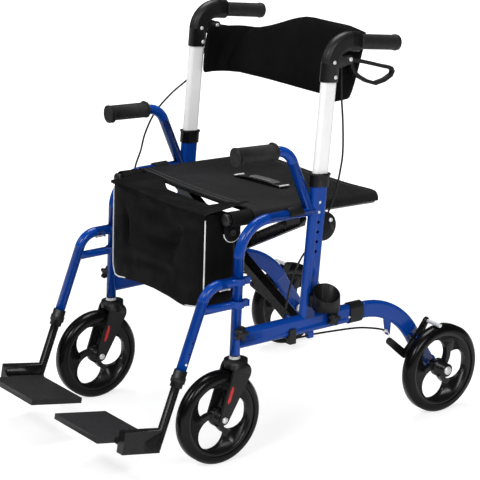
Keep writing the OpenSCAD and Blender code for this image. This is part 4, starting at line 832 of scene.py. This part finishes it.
# The bag's flap: a single skin of the same nylon, laid over the mouth from the bag's rear lip and hanging
# down the front in loose waves.
FLAP_HALF, FLAP_FROM, FLAP_TO, FLAP_THICK = 178.0, -166.0, 193.0, 1.4
FLAP_TURN, FLAP_OVER, FLAP_BACK, FLAP_LONG, FLAP_LIFT = 0.8, 14.0, 48.0, 88.5, 3.5
RIPPLES = [(1.0, 21.0, 0.6, 0.0), (0.7, 9.5, 0.0, 2.0), (0.6, 37.0, 0.0, -3.0)]
FAR_RAISED, FAR_SPAN, NEAR_RAISED, NEAR_RAISED_SPAN = 15.0, (-118.0, -72.0), 16.0, (100.0, 142.0)
END_RAISED, END_SPAN = 9.0, (150.0, 190.0)
FOLD_HIGH, FOLD_AT, FOLD_SLANT, FOLD_WIDE = 3.0, 40.0, 190.0, 16.0
flap_x = np.linspace(FLAP_FROM, FLAP_TO, 91)[None, :]
flap_run = np.concatenate([np.linspace(0.0, FLAP_TURN, 25), np.linspace(0.83, 1.0, 12)])[:, None]
over_top = np.clip(flap_run / FLAP_TURN, 0.0, 1.0)
down = np.clip((flap_run - FLAP_TURN) / (1.0 - FLAP_TURN), 0.0, 1.0)
ripple = sum(high * np.sin(flap_x / pitch + start + slant * over_top)
             for high, pitch, start, slant in RIPPLES)
over = FLAP_OVER * (0.75 + 0.35 * np.sin(flap_x / 44.0 + 2.6)) + 1.8 * np.sin(flap_x / 15.0)
raised = (FAR_RAISED * (1.0 - ease(flap_x, *FAR_SPAN)) + NEAR_RAISED * ease(flap_x, *NEAR_RAISED_SPAN)
          + END_RAISED * ease(flap_x, *END_SPAN))
fold = FOLD_HIGH * np.exp(-((flap_x - FOLD_AT + FOLD_SLANT * (over_top - 0.4)) / FOLD_WIDE) ** 2)
sag = MOUTH_SAG * (1.0 - (flap_x / FLAP_HALF) ** 2)
flap_y = (FLAP_BACK + 0.9 * raised * (1.0 - over_top) ** 2 - FLAP_LONG * over_top
          - down * (2.0 + 0.9 * ripple))
flap_z = (BAG_BACK + FLAP_LIFT + (BAG_LIP - BAG_BACK) * over_top + raised * (1.0 - over_top) ** 1.2
          + 1.6 * ripple * np.sin(np.pi * over_top) ** 0.7 + fold - sag - over * down
          - 2.0 * ease(over_top, 0.9, 1.0) * (1.0 - down))
flap = cloth("bag_flap", leg_frame(np.stack(np.broadcast_arrays(flap_x, flap_y, flap_z), axis=-1)), bag_nylon,
             "seat_body", FLAP_THICK)
gathers(flap)

# The bag's loops: a wide webbing wrapped round each seat rail's front end, with a round tail closed on
# the bag's side by a snap, edged with the white piping. A moulded plug closes the rail.
webbing = canvas("webbing", grey(0.005), grey(0.009, 0.0005), 0.0016, 0.0003, (0.5, 0.7))
LOOP_OUT, LOOP_MID, LOOP_HALF, TAIL, TAIL_FLARE = 15.4, 31.0, 21.0, 54.0, 0.02
WRAP_MID, WRAP_HALF, WRAP_TURN, WRAP_THICK, TAIL_STARTS = 35.0, 26.0, (-150.0, 178.0), 1.8, (0.0, 22.0)
TRIM_TURN, TRIM_RADIUS, TRIM_OUT, SNAP_OUT, SNAP_DOWN = 84.0, 0.0012, 1.1, 1.2, 33.0
SNAP = [(0.0, 1.2), (3.2, 1.2), (4.2, 2.0), (6.0, 2.2), (7.2, 1.5), (7.6, 0.4), (7.6, -0.8), (0.0, -0.8)]
PLUG = [(0.0, 3.2), (5.0, 3.0), (9.5, 2.2), (12.2, 0.8), (12.9, -0.6), (12.9, -3.0), (9.8, -3.2), (9.8, -9.0),
        (0.0, -9.0)]
RAIL_END, RAIL_AXIS = 0.0, (0.0, -1.0, 0.03)
wrap = np.radians(np.linspace(*WRAP_TURN, 40))
tail = np.linspace(0.0, TAIL, 24)[1:]
loop_x = np.concatenate([LOOP_OUT * np.cos(wrap), -LOOP_OUT - TAIL_FLARE * tail])
loop_z = np.concatenate([LOOP_OUT * np.sin(wrap), -tail])
narrow = np.clip((tail - TAIL + LOOP_HALF) / LOOP_HALF, 0.0, 0.985)
part_way = ease(tail, *TAIL_STARTS)
loop_mid = np.concatenate([np.full_like(wrap, WRAP_MID), WRAP_MID + (LOOP_MID - WRAP_MID) * part_way])
loop_half = np.concatenate([np.full_like(wrap, WRAP_HALF),
                            (WRAP_HALF + (LOOP_HALF - WRAP_HALF) * part_way) * np.sqrt(1.0 - narrow ** 2)])
loop_along = loop_mid + loop_half * np.linspace(-1.0, 1.0, 13)[:, None]
trim_turn = np.radians(np.linspace(-TRIM_TURN, TRIM_TURN, 30))
for side, s in SIDES.items():
    rail_body = frame["nodes"]["cross_brace_b" if side == "left" else "cross_brace_a"]["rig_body"]
    loop = on_rails(s * (SEAT_HALF + loop_x[None, :]), loop_along, loop_z[None, :])
    cloth(side + "_bag_loop", loop, webbing, rail_body, WRAP_THICK, offset=0.0)
    trim = on_rails(s * (SEAT_HALF - LOOP_OUT - TRIM_OUT), LOOP_MID + LOOP_HALF * np.sin(trim_turn),
                    LOOP_HALF - TAIL - LOOP_HALF * np.cos(trim_turn))
    skin(side + "_loop_trim", tube_along(trim, TRIM_RADIUS, 8), piping_white, rail_body)
    stud = on_rails(s * (SEAT_HALF - LOOP_OUT + SNAP_OUT), LOOP_MID, -SNAP_DOWN)
    skin(side + "_loop_snap", turned(stud, (s, 0.0, 0.0), SNAP, 28), moulded_nylon,
         rail_body)
    rail_end = on_rails(s * SEAT_HALF, RAIL_END, 0.0)
    skin(side + "_rail_plug", turned(rail_end, RAIL_AXIS, PLUG, 36), moulded_nylon,
         rail_body)

# The studio: a pale floor that keeps the chair's soft shadow, a backdrop that is white to the camera and
# dim as a light and in reflections, four broad soft lamps, and the camera where the photographer stood.
AMBIENT, MIRRORED = 0.30, 0.07
world = bpy.data.worlds.new("studio")
bpy.context.scene.world = world
world.use_nodes = True
sky = world.node_tree
backdrop = sky.nodes["Background"]
backdrop.inputs["Color"].default_value = (1.0, 1.0, 1.0, 1.0)
seen = sky.nodes.new("ShaderNodeLightPath")
ambient = sky.nodes.new("ShaderNodeMapRange")
ambient.inputs["To Min"].default_value = AMBIENT
ambient.inputs["To Max"].default_value = MIRRORED
sky.links.new(seen.outputs["Is Glossy Ray"], ambient.inputs["Value"])
strength = sky.nodes.new("ShaderNodeMath")
strength.operation = "MAXIMUM"
sky.links.new(ambient.outputs["Result"], strength.inputs[0])
sky.links.new(seen.outputs["Is Camera Ray"], strength.inputs[1])
sky.links.new(strength.outputs["Value"], backdrop.inputs["Strength"])
LAMPS = {"key": ((1.5, -2.9, 2.9), 0.45, 0.9, 60.0), "fill": ((3.3, -0.7, 2.2), 0.45, 1.3, 52.0),
         "side": ((-1.7, -2.3, 2.4), 0.5, 1.2, 20.0), "top": ((-0.6, 0.4, 3.2), 0.4, 1.6, 80.0)}
for name, (place, aim_height, size, watts) in LAMPS.items():
    light = bpy.data.lights.new(name, "AREA")
    light.size = size
    light.energy = watts
    lamp = bpy.data.objects.new(name, light)
    bpy.context.scene.collection.objects.link(lamp)
    lamp.location = place
    to_chair = Vector((0.0, 0.0, aim_height)) - Vector(place)
    lamp.rotation_euler = to_chair.to_track_quat("-Z", "Y").to_euler()

FLOOR_HALF, PAPER_GLOW, GLOW_FROM, GLOW_TO, GLOW_LEAST = 9.0, 1.42, 0.7, 1.6, 0.52
paper, paper_tree, paper_skin = finish_of("paper", grey(0.86), 0.55)
glow = paper_tree.nodes.new("ShaderNodeEmission")
glow.inputs["Strength"].default_value = PAPER_GLOW
both = paper_tree.nodes.new("ShaderNodeMixShader")
camera_sees = paper_tree.nodes.new("ShaderNodeLightPath")
where_on_floor = paper_tree.nodes.new("ShaderNodeTexCoord")
from_middle = paper_tree.nodes.new("ShaderNodeVectorMath")
from_middle.operation = "LENGTH"
paper_tree.links.new(where_on_floor.outputs["Object"], from_middle.inputs[0])
fade = paper_tree.nodes.new("ShaderNodeMapRange")
fade.inputs["From Min"].default_value = GLOW_FROM
fade.inputs["From Max"].default_value = GLOW_TO
fade.inputs["To Min"].default_value = GLOW_LEAST
paper_tree.links.new(from_middle.outputs["Value"], fade.inputs["Value"])
share = paper_tree.nodes.new("ShaderNodeMath")
share.operation = "MULTIPLY"
paper_tree.links.new(fade.outputs["Result"], share.inputs[0])
paper_tree.links.new(camera_sees.outputs["Is Camera Ray"], share.inputs[1])
paper_tree.links.new(share.outputs["Value"], both.inputs["Fac"])
paper_tree.links.new(paper_skin.outputs["BSDF"], both.inputs[1])
paper_tree.links.new(glow.outputs["Emission"], both.inputs[2])
paper_tree.links.new(both.outputs["Shader"], paper_tree.nodes["Material Output"].inputs["Surface"])
floor_mesh = bpy.data.meshes.new("floor")
corners = [(x * FLOOR_HALF, y * FLOOR_HALF, 0.0) for x, y in ((-1, -1), (1, -1), (1, 1), (-1, 1))]
floor_mesh.from_pydata(corners, [], [(0, 1, 2, 3)])
floor_mesh.materials.append(paper)
floor = bpy.data.objects.new("floor", floor_mesh)
bpy.context.scene.collection.objects.link(floor)

SENSOR, LENS, CAMERA_AT = 36.0, 150.2, (3.4093, -2.4167, 1.6268)
CAMERA_DOWN, CAMERA_PAN = 16.482, 54.305
view = bpy.data.cameras.new("portrait")
view.sensor_width = SENSOR
view.lens = LENS
portrait = bpy.data.objects.new("portrait", view)
bpy.context.scene.collection.objects.link(portrait)
portrait.location = CAMERA_AT
portrait.rotation_euler = (math.radians(90.0 - CAMERA_DOWN), 0.0, math.radians(CAMERA_PAN))
bpy.context.scene.camera = portrait
bpy.context.scene.view_settings.view_transform = "Standard"
